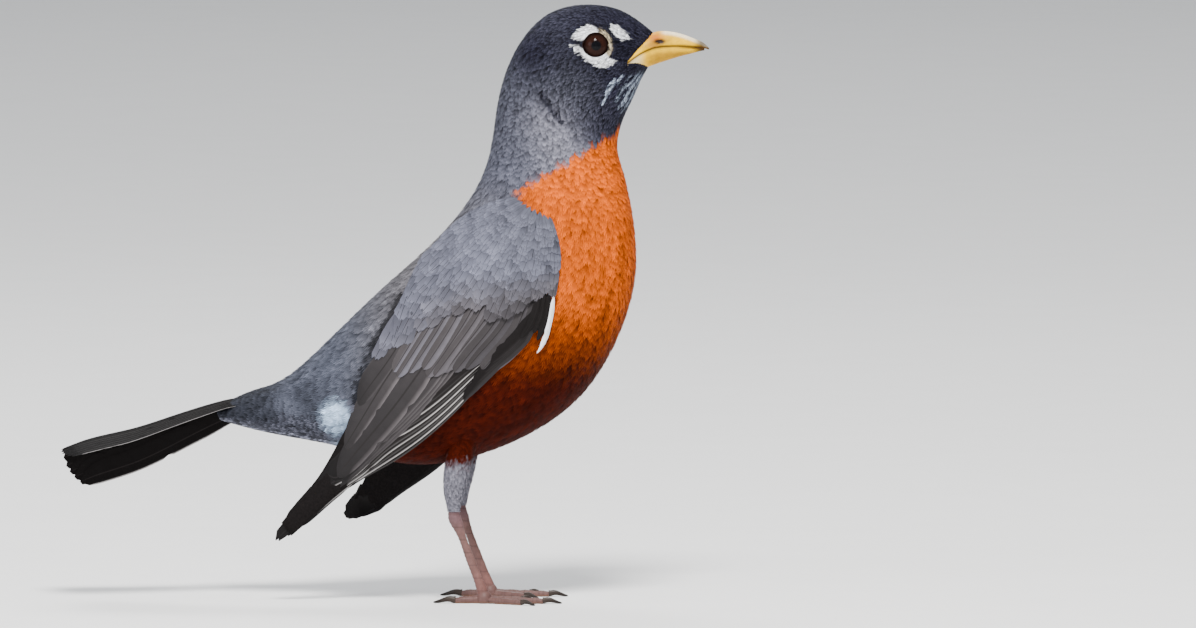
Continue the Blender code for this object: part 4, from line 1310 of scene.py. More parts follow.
def body_coat(look, sizes):
    """Small feathers over the whole body in a few pieces."""
    finish = feather_material("contour_feathers")
    head = np.array([BODY_AT["crown"], BODY_AT["lower_neck"]])
    target = target_mesh("coat_target", coat_bed, 0.0, BODY_LINE.knots[-1], 121)

    def spacing(t, turn):
        points = skin_surface(t, turn)
        near_eye = spot(points[..., 0], points[..., 2], (EYE[0], EYE[2], 10.0))
        face = near_eye * (t < BODY_AT["nape"])
        return sizes.spacing / MM * down_body(COAT_SPACING, t) * (1 - 0.36 * face)

    for name, (first, last, kind, seed, slot) in COAT_PIECES.items():
        end = BODY_AT[last] - (1.0 if last == "coverts_tip" else 0.0)
        t, turn = sow(skin_surface, BODY_AT[first], end, (-math.pi, math.pi), spacing, seed)
        points = skin_surface(t, turn)
        from_eye = np.hypot(points[:, 0] - EYE[0], points[:, 2] - EYE[2])
        side = np.abs(points[:, 1]) > 5
        keep = ~((from_eye < LID_REACH) & side) & ~under_wing(points, WING_MARGIN)
        t, turn, points, from_eye, side = (v[keep] for v in (t, turn, points, from_eye, side))
        rng = np.random.default_rng(seed + 100)
        long = spacing(t, turn) * np.interp(t, head, (4.0, 5.4)) * rng.uniform(0.85, 1.2, len(t))
        wide = long * np.interp(t, head, (0.27, 0.36))
        along, _, out = slopes(skin_surface, t, turn)
        lie = unit(along)
        part, swing = round_the_eye(points, lie, out, np.where(side, from_eye, np.inf))
        long *= 1 - 0.45 * part
        # Each feather is coloured as the body is below its visible end.
        reach = long * VISIBLE_FROM
        tip_t = t + reach / np.linalg.norm(along, axis=-1)
        plume, fringe = markings(points + lie * reach[:, None], turn, tip_t, look)
        vary = np.clip(rng.normal(1.0, np.interp(t, head, (0.32, 0.14))), 0.3, 2.0)[:, None]
        # Soft streaks run down the body, where feathers lie in tufts.
        tufts = np.sin(turn * 19 + 1.4 * np.sin(t * 0.06)) * np.sin(t * 0.10 + 5 * np.sin(turn * 3))
        vary = vary * (1 + 0.24 * tufts * ramp(head[1] - 10, head[1] + 15, t))[:, None]
        loose = kind == "loose"
        ruffle = 1 + 0.05 * rng.uniform(-1, 1, len(t)) + 0.07 * loose * rng.random(len(t))
        grow_coat(
            name, slot, coat_bed, (t, turn), (long, wide, long * 0.03),
            down_body(COAT_DEPTH, t) * 0.5 * ruffle, (plume * vary, fringe * vary), body_unwrap,
            target, kind, finish, seed, swing, sway=0.13,
        )
    for side, way in SIDES:
        thigh_coat(side, way, look, finish)
    bpy.data.objects.remove(target)


def body_unwrap(t, turn):
    """Where a place on the body lies on the skin's flat unwrap."""
    return 0.02 + 0.93 * t / BODY_LINE.knots[-1], 0.5 + 0.47 * turn / math.pi


# Heights between which the belly's dark colour, painted shade of the underside, gives way to the
# grey of the thighs.
THIGH_TOP = (50.5, 46.0)
THIGH_COAT_START = 9.0  # how far down a thigh's line its feathers begin


def thigh_coat(side, way, look, finish):
    """Short grey-white feathers of a thigh."""
    surface, end = thigh_surface(way)

    def skin(t, turn, lift=0.0):
        return surface(t, turn, lift - 0.5)

    start = THIGH_COAT_START
    target = target_mesh("thigh_target", skin, start, end, 41, rows=60, flip=-1.0)
    t, turn = sow(
        skin, start, end - 0.6, (-math.pi, math.pi), lambda t, turn: 0.75 + 0 * t, 23 + way
    )
    rng = np.random.default_rng(40 + way)
    long = rng.uniform(3.4, 4.8, len(t)) * np.interp(t, [start, end], [1.0, 0.6])
    stocking, belly = look.stocking, look.belly
    pale = rng.random((len(t), 1)) ** 2
    # A thigh's top takes the belly's colours, painted shade included, as if tucked under it.
    under = ramp(THIGH_TOP[1], THIGH_TOP[0], skin(t, turn)[:, 2] + rng.normal(0, 0.8, len(t)))
    plume = painted(stocking * (0.8 + 0.35 * pale), belly * 1.1, under)
    fringe = painted(stocking * (1.05 + 0.6 * pale), belly * 1.6, under)
    grow_coat(
        f"feathers_thigh_{side}", "rump_feathers", skin, (t, turn),
        (long, long * 0.34, long * 0.03), 0.6 * rng.uniform(0.85, 1.15, len(t)), (plume, fringe),
        lambda t, turn: (0.02 + 0.93 * t / end, 0.5 + 0.4 * turn / math.pi),
        target, "loose", finish, 29 + way, sway=0.2, flip=-1.0,
    )
    bpy.data.objects.remove(target)


# ---------------- wings

# Large feathers of a wing: where the shaft passes (down the wing, and across it from the upper
# edge to the lower one), widths of the outer and the inner vane, and height over the wing's bed.
TERTIALS = (
    (((84, 0.16), (112, 0.15), (141, 0.05)), 3.6, 5.0, -0.10),
    (((84, 0.27), (122, 0.24), (157, 0.27)), 3.9, 6.0, -0.28),
    (((80, 0.46), (122, 0.50), (166, 0.56)), 4.6, 7.0, -0.46),
)
SECONDARIES = tuple(
    (((76, 0.62 + 0.04 * i), (122, 0.605 + 0.032 * i), (160 + 3 * i, 0.62 + 0.045 * i)),
     2.4, 7.0, -0.66 - 0.12 * i)
    for i in range(4)
)
# How light each tertial's vane and edge are.
TERTIAL_TONES = ((0.29, 0.9), (0.35, 1.1), (0.24, 1.0))
# How far in from the lower edge the uppermost pale edge of the primaries runs, down the wing, and
# the share of that for each of them, with its tip and how pale its edge is.
PRIMARY_SPREAD = ((60, 2.5), (92, 5.4), (118, 7.4), (138, 7.8), (162, 3.2))
PRIMARY_OUTER, PRIMARY_INNER = 1.5, 7.0
PRIMARIES = (
    (1.22, (171, 0.32), 0.05), (1.0, (179, 0.33), 0.85), (0.83, (187, 0.35), 0.10),
    (0.67, (195, 0.38), 1.0), (0.52, (203, 0.42), 0.14), (0.38, (210, 0.48), 0.9),
    (0.25, (209, 0.66), 0.12), (0.12, (204, 0.84), 1.0), (0.0, (195, 0.95), 0.10),
)
GREATER_COVERTS = tuple(
    (
        ((np.interp(level, (0.2, 0.5, 1.0), (62, 46, 34)), level - 0.09),
         (60 + 26 * (1 - level), level - 0.03), (78 + 44 * (1 - level), level)),
        3.0, 4.2, 0.10 - 0.05 * i,
    )
    for i, level in enumerate(np.linspace(0.27, 0.96, 11))
)
PRIMARY_COVERTS = tuple(
    (
        tuple((at + step * i, 0.93 + aside * i) for at, step, aside in (
            (44, 2, 0.01), (62, 3, 0.012), (80, 6, 0.015),
        )),
        1.6, 3.4, -0.42 - 0.07 * i,
    )
    for i in range(4)
)
# Black feathers at the wrist, and a white one that shows just below the wing's edge there.
WRIST_FEATHERS = (
    (((38, 0.90), (48, 0.93), (60, 0.93)), 1.4, 1.7, 0.30),
    (((37, 0.94), (46, 0.97), (55, 0.98)), 1.3, 1.5, 0.15),
    (((36, 0.975), (46, 1.01), (57, 1.035)), 1.2, 1.7, 0.0),
)
WHITE_EDGE = (
    (((36, 1.02), (47, 1.055), (59, 1.085)), 0.7, 1.2, 0.10),
    (((44, 1.04), (53, 1.08), (62, 1.10)), 0.5, 0.9, 0.25),
)
WING_THICKNESS = (
    (0, 1.4), (19, 3.2), (40, 4.0), (76, 3.6), (120, 2.8), (160, 1.9), (197, 1.1), (211, 0.8),
)
# How far down the wing its small coverts reach, across it.
SMALL_COVERTS_REACH = ((0.0, 0.25, 0.4, 0.55, 0.8, 1.0), (96, 70, 58, 50, 38, 28))


def primary_line(share, tip):
    """Where a primary's shaft passes, for its pale edge to keep its share of the spread."""
    t, width_here = np.array(PRIMARY_SPREAD, float).T
    rows = WING_LINE(t)
    width = np.hypot(rows[:, 0] - rows[:, 2], rows[:, 1] - rows[:, 3])
    return (*zip(t, 1 - (share * width_here + PRIMARY_OUTER) / width), tip)


def wing_bed(side, surface, look):
    """The dark plate of down and covered quills that the wing's feathers lie on."""
    rows, columns = 60, 15
    t = np.linspace(3.0, WING_LINE.knots[-1] - 8.0, rows)[:, None]
    level = np.linspace(0.06, 0.94, columns)[None, :]
    thick = np.interp(t, *zip(*WING_THICKNESS))
    arch = 1 - (2 * level - 1) ** 4
    sheets = [
        surface(t, level, -0.85 * thick + 0.35 * thick * arch), surface(t, level, -thick * 0.95)
    ]
    points = np.concatenate([sheet.reshape(-1, 3) for sheet in sheets])
    grid = np.arange(rows * columns).reshape(rows, columns)
    faces = grid_faces(grid) + grid_faces(grid + grid.size)
    for edge in (grid[0], grid[-1], grid[:, 0], grid[:, -1]):
        faces += grid_faces(np.stack([edge, edge + grid.size]))
    name = f"wing_{side}_bed"
    mesh = mesh_from(name, points, faces, finish_called(SKIN_FINISH, skin_material))
    carry(mesh, plume=np.tile(look.flight * 0.4, (len(points), 1)))
    finish_piece(new_object(name, mesh), "flight_feathers", f"wing_{side}_shoulder")


def flight_feathers(side, surface, look, rng):
    """The primaries, secondaries and tertials of a wing."""
    dark, brown, pale = look.flight, look.coverts, look.quill_edge
    quills = []
    for i, (share, tip, edge) in enumerate(PRIMARIES):
        lift = -1.25 - 0.13 * i
        feather = quill(
            surface, "primary", primary_line(share, tip), PRIMARY_OUTER, PRIMARY_INNER,
            (lift * 0.8, lift * 0.62), i,
        )
        quills.append((feather, dark * rng.uniform(0.5, 0.7), pale * edge, 0.65))
    for i, (line, outer, inner, lift) in enumerate(SECONDARIES):
        feather = quill(surface, "secondary", line, outer, inner, (lift, lift), 20 + i)
        quills.append((feather, brown * rng.uniform(0.27, 0.35), brown * 0.75, 0.8))
    for i, (line, outer, inner, lift) in enumerate(TERTIALS):
        feather = quill(surface, "tertial", line, outer, inner, (lift, lift), 40 + i)
        vane, edge = TERTIAL_TONES[i]
        quills.append((feather, brown * vane, brown * edge, 0.66))
    finish = finish_called("long_quills", feather_material)
    join_quills(f"wing_{side}_quills", f"wing_{side}_primaries", quills, finish)


def large_coverts(side, surface, look, rng):
    """The greater and primary coverts of a wing, and the feathers at its wrist."""
    brown, slate = look.coverts, look.slate
    black, white = look.flight * 0.3, look.white * 0.9
    quills = []
    for i, ((root, half_way, end), outer, inner, lift) in enumerate(GREATER_COVERTS):
        shift, sway = rng.uniform(-4.0, 4.0), rng.uniform(-0.015, 0.015)
        line = (root, (half_way[0], half_way[1] + sway), (end[0] + shift, end[1] + 1.5 * sway))
        outer, lifts = outer * rng.uniform(0.85, 1.15), (lift - 1.0, lift + rng.uniform(-0.1, 0.1))
        feather = quill(surface, "greater_covert", line, outer, inner, lifts, 50 + i)
        tone = rng.uniform(0.85, 1.12)
        low, high = float(ramp(0.5, 0.85, end[1])), float(ramp(0.6, 0.3, end[1]))
        edge = brown * (0.68 - 0.34 * low - 0.2 * high) + slate * (0.22 - 0.1 * low + 0.45 * high)
        quills.append((feather, brown * (0.36 - 0.12 * low) * tone, edge * tone, 0.0))
    for i, (line, outer, inner, lift) in enumerate(PRIMARY_COVERTS):
        feather = quill(surface, "primary_covert", line, outer, inner, (lift, lift), 70 + i)
        quills.append((feather, black, brown * 0.2, 0.0))
    for table, tint in ((WRIST_FEATHERS, black), (WHITE_EDGE, white)):
        for i, (line, outer, inner, lift) in enumerate(table):
            feather = quill(surface, "wrist", line, outer, inner, (lift - 0.3, lift), 75 + i)
            quills.append((feather, tint, tint, 0.0))
    finish = finish_called("broad_quills", feather_material)
    join_quills(f"wing_{side}_coverts", f"wing_{side}_secondaries", quills, finish)


def small_coverts(side, surface, look, sizes):
    """The small feathers over the upper part of a wing."""
    finish = finish_called("small_coverts", feather_material)
    brown, slate = look.coverts, look.slate
    flip = 1.0 if side == "right" else -1.0

    def bed(t, level, lift=0.0):
        return surface(t, level, lift - 0.5)

    def spacing(t, level):
        return sizes.wing_spacing / MM * np.interp(t, [0, 20, 50, 100], [0.55, 0.8, 1.3, 1.6])

    last = 104.0
    target = target_mesh("wing_target", bed, 0.0, last + 20, 41, (-0.03, 1.03), 90, flip)
    t, level = sow(bed, 0.6, last, (0.0, 1.0), spacing, 31)
    reach = np.interp(level, *SMALL_COVERTS_REACH)
    rng = np.random.default_rng(90)
    keep = t < reach * rng.uniform(0.86, 1.06, len(t))
    t, level = t[keep], level[keep]
    long = spacing(t, level) * 4.8 * rng.uniform(0.85, 1.15, len(t))
    # They are browner and darker down the wing, with a painted highlight on the shoulder and
    # painted shade in the hollow behind it.
    far_down = ramp(0.55, 1.0, t / reach[keep]) * (0.25 + 0.75 * ramp(0.15, 0.5, level))
    tone = rng.normal(1.0, 0.10, (len(t), 1)) * (1 - 0.36 * far_down)[:, None]
    brownish = np.clip(ramp(30, 100, t) * 0.6 * level + 0.8 * far_down, 0, 1)[:, None] * 0.9
    place = bed(t, level)
    shoulder, hollow = (
        spot(place[:, 0], place[:, 2], patch) for patch in (SHOULDER_HIGHLIGHT, HOLLOW_SHADE)
    )
    # Painted light: the shoulder's spot lightens the coverts and the hollow's spot darkens them.
    shoulder = (shoulder - 0.75 * hollow)[:, None]
    rows = (np.sin(level * 26 + 1.3 * np.sin(t * 0.13)) * np.sin(t * 0.31 + level * 9))[:, None]
    tint = (slate * (1 - brownish) + brown * brownish) * (1 + 0.4 * shoulder) * (1 + 0.18 * rows)
    speck = (rng.random((len(t), 1)) < 0.05) * 1.0
    colours = (tint * tone * (0.92 - 0.3 * speck), tint * tone * 1.02)
    grow_coat(
        f"wing_{side}_small_feathers", "slate_feathers", bed, (t, level),
        (long, long * 0.42, long * 0.014), 0.6 * rng.uniform(0.94, 1.06, len(t)), colours,
        lambda t, level: (0.02 + 0.93 * t / 130, 0.04 + 0.9 * level), target, "round", finish, 33,
        sway=0.10, flip=flip, clear=0.2,
    )
    bpy.data.objects.remove(target)


def wing_piece(side, surface, look, sizes):
    """One folded wing: its bed, flight feathers, large coverts and the small ones over them."""
    rng = np.random.default_rng(60 + len(side))
    wing_bed(side, surface, look)
    flight_feathers(side, surface, look, rng)
    large_coverts(side, surface, look, rng)
    small_coverts(side, surface, look, sizes)


# ---------------- tail


def tail_piece(look):
    """Twelve tail feathers, the middle pair on top and the outer ones staggered under it."""
    dark, pale = look.tail, look.quill_edge
    length = TAIL_SPINE.knots[-1]
    quills = []
    for side in (-1, 1):
        def surface(run, across, lift=0.0):
            return tail_surface(run, side * across, lift)

        for k in range(TAIL_PAIRS):
            share = (k + 0.5) / TAIL_PAIRS
            line = (
                (4.0, share * 0.45), (length * 0.5, share * 0.80),
                (length - TAIL_ROUNDING * share**2 - 0.3, share * 0.86),
            )
            outer, inner = (4.4, 6.8) if k else (5.0, 5.2)
            lift = -0.08 - 0.20 * k
            feather = quill(surface, "tail", line, outer, inner, (lift, lift * 0.8), 80 + k + side)
            edge = pale * (0.06 if k < TAIL_PAIRS - 1 else 0.5)
            quills.append((feather, dark * (0.6 if k else 0.7), edge, 0.0))
    finish = feather_material("tail_quills")
    join_quills("tail_feathers", "tail", quills, finish)


# ---------------- bill, eyes, legs

# Hollows of the nostril: depth, (x, z) of the middle, half length and half height.
NOSTRIL = (
    (0.45, 92.6, 185.6, 1.7, 0.75), (0.55, 92.9, 185.2, 1.0, 0.34), (0.25, 89.5, 183.9, 3.0, 0.4),
)
TARSUS_GRID = (150, 28)  # rows of points down a tarsus, and points round it
FOOT_SIDES = 28  # points round the ball of a foot


def mandible_rings(upper, rows=72, sides=33):
    """Rings of one mandible from gape to tip, with its ridge, cutting edge and soft gape."""
    start, end = BILL_STATIONS[0][0], BILL_STATIONS[-1][0] - (0.0 if upper else 1.6)
    turn = np.linspace(0, math.pi, sides)
    side = -np.sign(np.cos(turn)) * np.abs(np.cos(turn)) ** 0.92
    lift = np.clip(np.sin(turn), 0, 1) ** (0.86 if upper else 0.8)
    rings = []
    for x in start + (end - start) * np.linspace(0, 1, rows) ** 0.9:
        _, mouth, culmen, under, half = BILL_LINE(x)
        flange = 0.45 * bell(x - 85.5, 3.2)
        if upper:
            base, height = mouth + MOUTH_GAP / 2, culmen - mouth - MOUTH_GAP / 2
        else:
            base, height = mouth - MOUTH_GAP / 2, under - mouth + MOUTH_GAP / 2
        wide = half * (1 - 0.06 * lift) + flange * (1 - lift) ** 2
        z = base + height * lift
        if upper:
            for depth, hollow_x, hollow_z, long, tall in NOSTRIL:
                wide = wide - depth * np.exp(
                    -(((x - hollow_x) / long) ** 2) - ((z - hollow_z) / tall) ** 2
                )
        arch = np.stack([np.full(sides, x), wide * side, z], axis=-1)
        floor = np.stack([
            np.full(sides - 2, x), 0.88 * half * np.cos(turn[1:-1]),
            base + 0.12 * height * np.sin(turn[1:-1]) ** 2,
        ], axis=-1)
        rings.append(np.concatenate([arch, floor]))
    return rings


def bill_colours(points, upper, look):
    """Yellow horn, brown groove and under edge, an orange root and a dusky tip, with a painted
    highlight along the culmen and painted shade in the nostril and along the mouth line.
    """
    x, z = points[:, 0], points[:, 2]
    _, mouth, culmen, _, _ = BILL_LINE(x).T
    nostril = bell(np.hypot((x - 92.9) / 1.7, (z - 185.2) / 0.7), 1.0)
    tip = ramp(103.0, 106.6, x) * (0.88 + 0.12 * ramp(1.0, -0.4, z - mouth))
    # Painted shade along the mouth line, where the mandibles meet.
    mouth_shade = ((0.07, 0.03, 0.006), ramp(0.8, 0.3, np.abs(z - mouth)) * 0.9)
    if upper:
        coats = (
            # Painted highlight: a pale band along the culmen.
            ((0.95, 0.86, 0.66), ramp(1.6, 0.4, culmen - z) * ramp(92, 95, x) * 0.8),
            ((0.50, 0.12, 0.02), spot(x, z, (91.6, 186.4, 1.9), 1.6) * 0.9),
            ((0.36, 0.16, 0.03), spot(x, z, (90.5, 183.9, 0.8), 3.4) * 0.85),
            # Painted shade in the nostril's opening.
            ((0.02, 0.012, 0.010), np.clip(nostril * 2.0, 0, 1)),
        )
    else:
        coats = (
            ((0.34, 0.17, 0.01), ramp(-0.9, -2.6, z - mouth) * ramp(86, 92, x) * 0.8),
            ((0.86, 0.74, 0.42), ramp(89, 85, x) * 0.8),
        )
    return layered(look.bill, len(x), *coats, ((0.035, 0.022, 0.016), tip * 0.95), mouth_shade)


def painted_piece(name, slot, node, shape, colours, finish):
    """A closed shape, given as points and faces, with a colour for each point."""
    points, faces = shape
    mesh = mesh_from(name, points, faces, finish)
    carry(mesh, plume=np.clip(colours(points), 0.001, 1.0))
    finish_piece(new_object(name, mesh), slot, node)


def bill_pieces(look):
    """Both mandibles."""
    finish = horn_material("bill_horn")
    for node, upper in (("bill_upper", True), ("bill_lower", False)):
        painted_piece(
            f"{node}_horn", "bill", node, tube(mandible_rings(upper)),
            lambda points: bill_colours(points, upper, look), finish,
        )


def eye_material(name):
    """Iris and pupil under a wet cornea, from how far a place is off the eye's own axis."""
    material, tree, surface = new_material(name)
    fibres = speckle(tree, 2600.0, 3.0, 0.7)
    tint = shaded(tree, attribute_colour(tree, "plume"), spread(tree, fibres, 0.3, 0.7, 0.7, 1.35))
    fill(tree, surface, {
        "Base Color": tint, "Roughness": 0.4, "Coat Weight": 0.13, "Coat Roughness": 0.02,
        "Specular IOR Level": 0.0,
    })
    return material


def eye_pieces(look, sizes):
    """Eyeballs, each a fine sphere with a domed cornea, ringed iris and round pupil."""
    finish = eye_material("wet_eye")
    rows, sides = 60, 64
    turn = np.linspace(0, math.tau, sides, endpoint=False)[:, None]
    pupil, iris = sizes.pupil / MM / 2, look.iris
    for side, way in SIDES:
        centre, ahead, up, out = eye_frame(way)
        rings = []
        for off in np.linspace(0.02, math.pi - 0.02, rows):
            dome = EYE_RADIUS * (1 + 0.035 * bell(off, 0.62))
            away = dome * math.sin(off)
            rings.append(
                centre + out * dome * math.cos(off)
                + away * (np.cos(turn) * ahead + np.sin(turn) * up)
            )

        def colours(points):
            arm = points - centre
            away = np.linalg.norm(arm - (arm @ out)[:, None] * out, axis=-1)
            return layered(
                iris, len(points), (iris * 1.4, bell(away - 2.5, 0.7) * 0.8),
                (iris * 0.35, ramp(3.0, 3.9, away)),
                ((0.003, 0.003, 0.004), ramp(pupil + 0.18, pupil - 0.12, away)),
                ((0.02, 0.012, 0.010), arm @ out <= 0),
            )

        painted_piece(f"eyeball_{side}", "eye", f"eye_{side}", tube(rings), colours, finish)


def toe_directions(heading):
    """Directions along a toe, aside from it, and up."""
    along = np.array([math.cos(heading), math.sin(heading), 0.0])
    return along, np.array([-along[1], along[0], 0.0]), np.array([0.0, 0.0, 1.0])


def toe_rings(root, heading, length, joints, radius, rows=60, sides=20):
    """A toe along the floor, with pads below, joints, and a row of scutes over its top."""
    along, aside, up = toe_directions(heading)
    turn = np.linspace(0, math.tau, sides, endpoint=False)
    rings = []
    for share in np.linspace(0, 1, rows):
        pad = 0.5 + 0.5 * math.cos(math.tau * share * (joints + 1) + math.pi)
        wide = radius * (1.0 - 0.28 * share) * (0.92 + 0.14 * pad)
        middle = wide * 0.86 + 0.30 * (1 - pad) * (1 - share)
        scute = (share * length / SCUTE) % 1.0
        plate = 0.07 * (1 - scute) * np.clip(np.sin(turn), 0, 1)
        away = wide * (1 + plate + 0.03 * np.cos(turn * 9 + 20 * share) * (np.sin(turn) < 0))
        ring = (
            root + along * length * share + aside * (away * np.cos(turn))[:, None]
            + up * (middle + away * np.sin(turn))[:, None]
        )
        ring[:, 2] = np.maximum(ring[:, 2], 0.0)
        rings.append(ring)
    return rings


def claw_rings(root, heading, length, radius, rows=28, sides=14):
    """A curved claw that rises from the toe's end and comes down to its point."""
    along, aside, up = toe_directions(heading)
    turn = np.linspace(0, math.tau, sides, endpoint=False)
    rings = []
    for share in np.linspace(0, 1, rows):
        wide = radius * (1 - share) ** 0.7 + 0.12 * share
        tall = wide * 1.25
        middle = radius * 0.95 + 0.9 * math.sin(math.pi * min(share * 1.15, 1.0)) * (1 - share)
        middle = max(middle - radius * 0.55 * share**2, tall + 0.05)
        rings.append(
            root + along * length * share + aside * (wide * np.cos(turn))[:, None]
            + up * (middle + tall * np.sin(turn))[:, None]
        )
    return rings


def off_centre(points, centre):
    """How far points lie from the upright line through the middle of a foot."""
    return np.hypot(points[:, 0] - centre[0], points[:, 1] - centre[1])


def tarsus_piece(side, centre, look, finish):
    """A bare tarsus with plates down its front."""
    surface, end = tube_surface(TARSUS, centre[1], TARSUS_FLATNESS)
    leg = look.leg

    def plates(t, turn, lift=0.0):
        ahead, behind = np.clip(np.cos(turn), 0, 1), np.clip(-np.cos(turn), 0, 1)
        step = (t / TARSUS_PLATE + 0.12 * np.sin(turn * 2)) % 1.0
        fine = 0.05 * np.sin(t * 4.2) * behind
        return surface(t, turn, lift + 0.10 * (1 - step) ** 3 * ahead + fine)

    def colours(points):
        high = points[:, 2]
        groove = np.abs((high / TARSUS_PLATE) % 1.0 - 0.5)
        return layered(
            leg, len(points), (leg * (1.25, 1.0, 0.95), ramp(14, 6, high) * 0.5),
            (leg * (0.85, 0.9, 1.15), ramp(22, 29, high) * 0.8),
            (leg * 0.45, ramp(0.40, 0.5, groove) * 0.6),
        )

    painted_piece(
        f"tarsus_{side}_scales", "leg", f"tarsus_{side}",
        tube(ring_grid(plates, 0.0, end, *TARSUS_GRID)[0]), colours, finish,
    )


def foot_piece(side, way, centre, look, finish):
    """The ball of a foot and its toes, with dark grooves between the scutes."""
    turns = [math.tau * i / FOOT_SIDES for i in range(FOOT_SIDES)]
    shapes = [[
        [(centre[0] + r * math.cos(a), centre[1] + r * math.sin(a), height) for a in turns]
        for height, r in FOOT_BALL
    ]]
    for turn, length, joints, radius, _ in TOES.values():
        shapes.append(toe_rings(centre, math.radians(turn) * way, length, joints, radius))
    leg = look.leg

    def colours(points):
        groove = np.abs((off_centre(points, centre) / SCUTE) % 1.0 - 0.5)
        return layered(
            leg * 0.8, len(points), (leg * 0.35, ramp(0.38, 0.5, groove) * 0.55),
            (leg * (1.3, 1.25, 0.9), ramp(0.7, 0.2, points[:, 2])),
        )

    painted_piece(
        f"foot_{side}_scales", "leg", f"foot_{side}", joined(map(tube, shapes)), colours, finish,
    )


def claw_pieces(side, way, centre, look, finish):
    """The claws of a foot, darker towards their points."""
    for toe, (turn, length, _, radius, claw) in TOES.items():
        heading = math.radians(turn) * way
        root = centre + toe_directions(heading)[0] * (length - 0.1)

        def colours(points):
            dark = ramp(length, length + claw, off_centre(points, centre))
            return layered(look.claw, len(points), (look.claw * 0.35, dark))

        painted_piece(
            f"claw_{side}_{toe}_horn", "claw", f"claw_{side}_{toe}",
            tube(claw_rings(root, heading, claw + 0.4, radius * 0.64)), colours, finish,
        )


def leg_pieces(look):
    """Both legs: bare tarsi, toes with scutes and pads, and horn claws."""
    scales, claw_horn = horn_material("leg_scales"), horn_material("claw_horn")
    for side, way in SIDES:
        centre = np.array([FOOT_AHEAD, way * LEG_SPACING, 0.0])
        tarsus_piece(side, centre, look, scales)
        foot_piece(side, way, centre, look, scales)
        claw_pieces(side, way, centre, look, claw_horn)


# ---------------- stage

FLOOR_REACH, FLOOR_BEND = 8.0, 1.5  # radius of the flat floor and of its upturned rim
LIT_PLACE = Vector((0.0, 0.0, 0.1))
# Each light's place, size, power and colour.
LIGHTS = (
    ("key", (0.12, -1.05, 1.5), 0.5, 66.0, (1.0, 0.98, 0.96)),
    ("fill", (-1.1, -1.3, 0.6), 1.0, 12.0, (0.90, 0.93, 1.0)),
    ("rim", (-0.4, 1.0, 1.3), 0.5, 9.0, (1.0, 1.0, 1.0)),
    ("backdrop", (0.0, 2.5, 3.0), 2.0, 45.0, (1.0, 1.0, 1.0)),
)
VIEW_CENTRE = (72.3, 0.0, 94.9)  # what the camera looks at


def floor_piece():
    """A pale round floor that curves up at its rim."""
    material, tree, surface = new_material("studio_sweep")
    grain = speckle(tree, 30.0, 3.0)
    tint = mix_colours(tree, grain, (0.86, 0.86, 0.85, 1.0), (0.90, 0.90, 0.89, 1.0))
    fill(tree, surface, {"Base Color": tint, "Roughness": 0.85})
    bend = [
        (FLOOR_REACH + FLOOR_BEND * math.sin(a), FLOOR_BEND - FLOOR_BEND * math.cos(a))
        for a in np.linspace(0.1, math.pi / 2, 14)
    ]
    outline = [(0.4, 0.0), (2.0, 0.0), (FLOOR_REACH, 0.0), *bend, (FLOOR_REACH + FLOOR_BEND, 2.5)]
    turn = np.linspace(0, math.tau, 72, endpoint=False)
    points = [(0.0, 0.0, 0.0)]
    points += [(away * math.cos(a), away * math.sin(a), z) for away, z in outline for a in turn]
    rings = np.arange(1, len(points)).reshape(len(outline), len(turn))
    faces = [(0, a, b) for a, b in zip(rings[0].tolist(), np.roll(rings[0], -1).tolist())]
    faces += grid_faces(rings, closed=True, turned=True)
    mesh = bpy.data.meshes.new("sweep")
    mesh.from_pydata(points, [], faces)
    mesh.polygons.foreach_set("use_smooth", [True] * len(faces))
    mesh.materials.append(material)
    floor = new_object("sweep", mesh)


def stage_pieces(sizes):
    """Pale floor that curves up all round, soft lights, and the camera."""
    floor_piece()
    for name, place, size, power, colour in LIGHTS:
        lamp = bpy.data.lights.new(name, "AREA")
        lamp.shape, lamp.size, lamp.energy, lamp.color = "DISK", size, power, colour
        thing = new_object(name, lamp)
        thing.location = place
        thing.rotation_euler = (LIT_PLACE - Vector(place)).to_track_quat("-Z", "Y").to_euler()
    world = bpy.data.worlds.new("studio")
    world.use_nodes = True
    fill(world.node_tree, world.node_tree.nodes["Background"], {
        "Color": (0.92, 0.95, 1.0, 1.0), "Strength": 0.6,
    })
    bpy.context.scene.world = world

    camera = bpy.data.cameras.new("camera")
    eye = new_object("camera", camera)
    turn, rise = sizes.view_turn, sizes.view_rise
    away = Vector((
        math.sin(turn) * math.cos(rise), -math.cos(turn) * math.cos(rise), math.sin(rise),
    ))
    camera.sensor_width = 36.0
    camera.lens = camera.sensor_width * sizes.view_distance / sizes.view_width
    camera.clip_end = 50.0
    eye.location = Vector(in_frame(VIEW_CENTRE).tolist()) + away * sizes.view_distance
    eye.rotation_euler = (-away).to_track_quat("-Z", "Y").to_euler()
    bpy.context.scene.camera = eye


# ---------------- settings


def colour_setting(name, description, default):
    """A colour that a user may change."""
    return bpy.props.FloatVectorProperty(
        name=name, description=description, default=default, size=3, subtype="COLOR", min=0, max=1,
    )


def size_setting(name, description, default):
    """A length that a user may change."""
    return bpy.props.FloatProperty(
        name=name, description=description, default=default, min=0.0, unit="LENGTH", precision=4,
    )


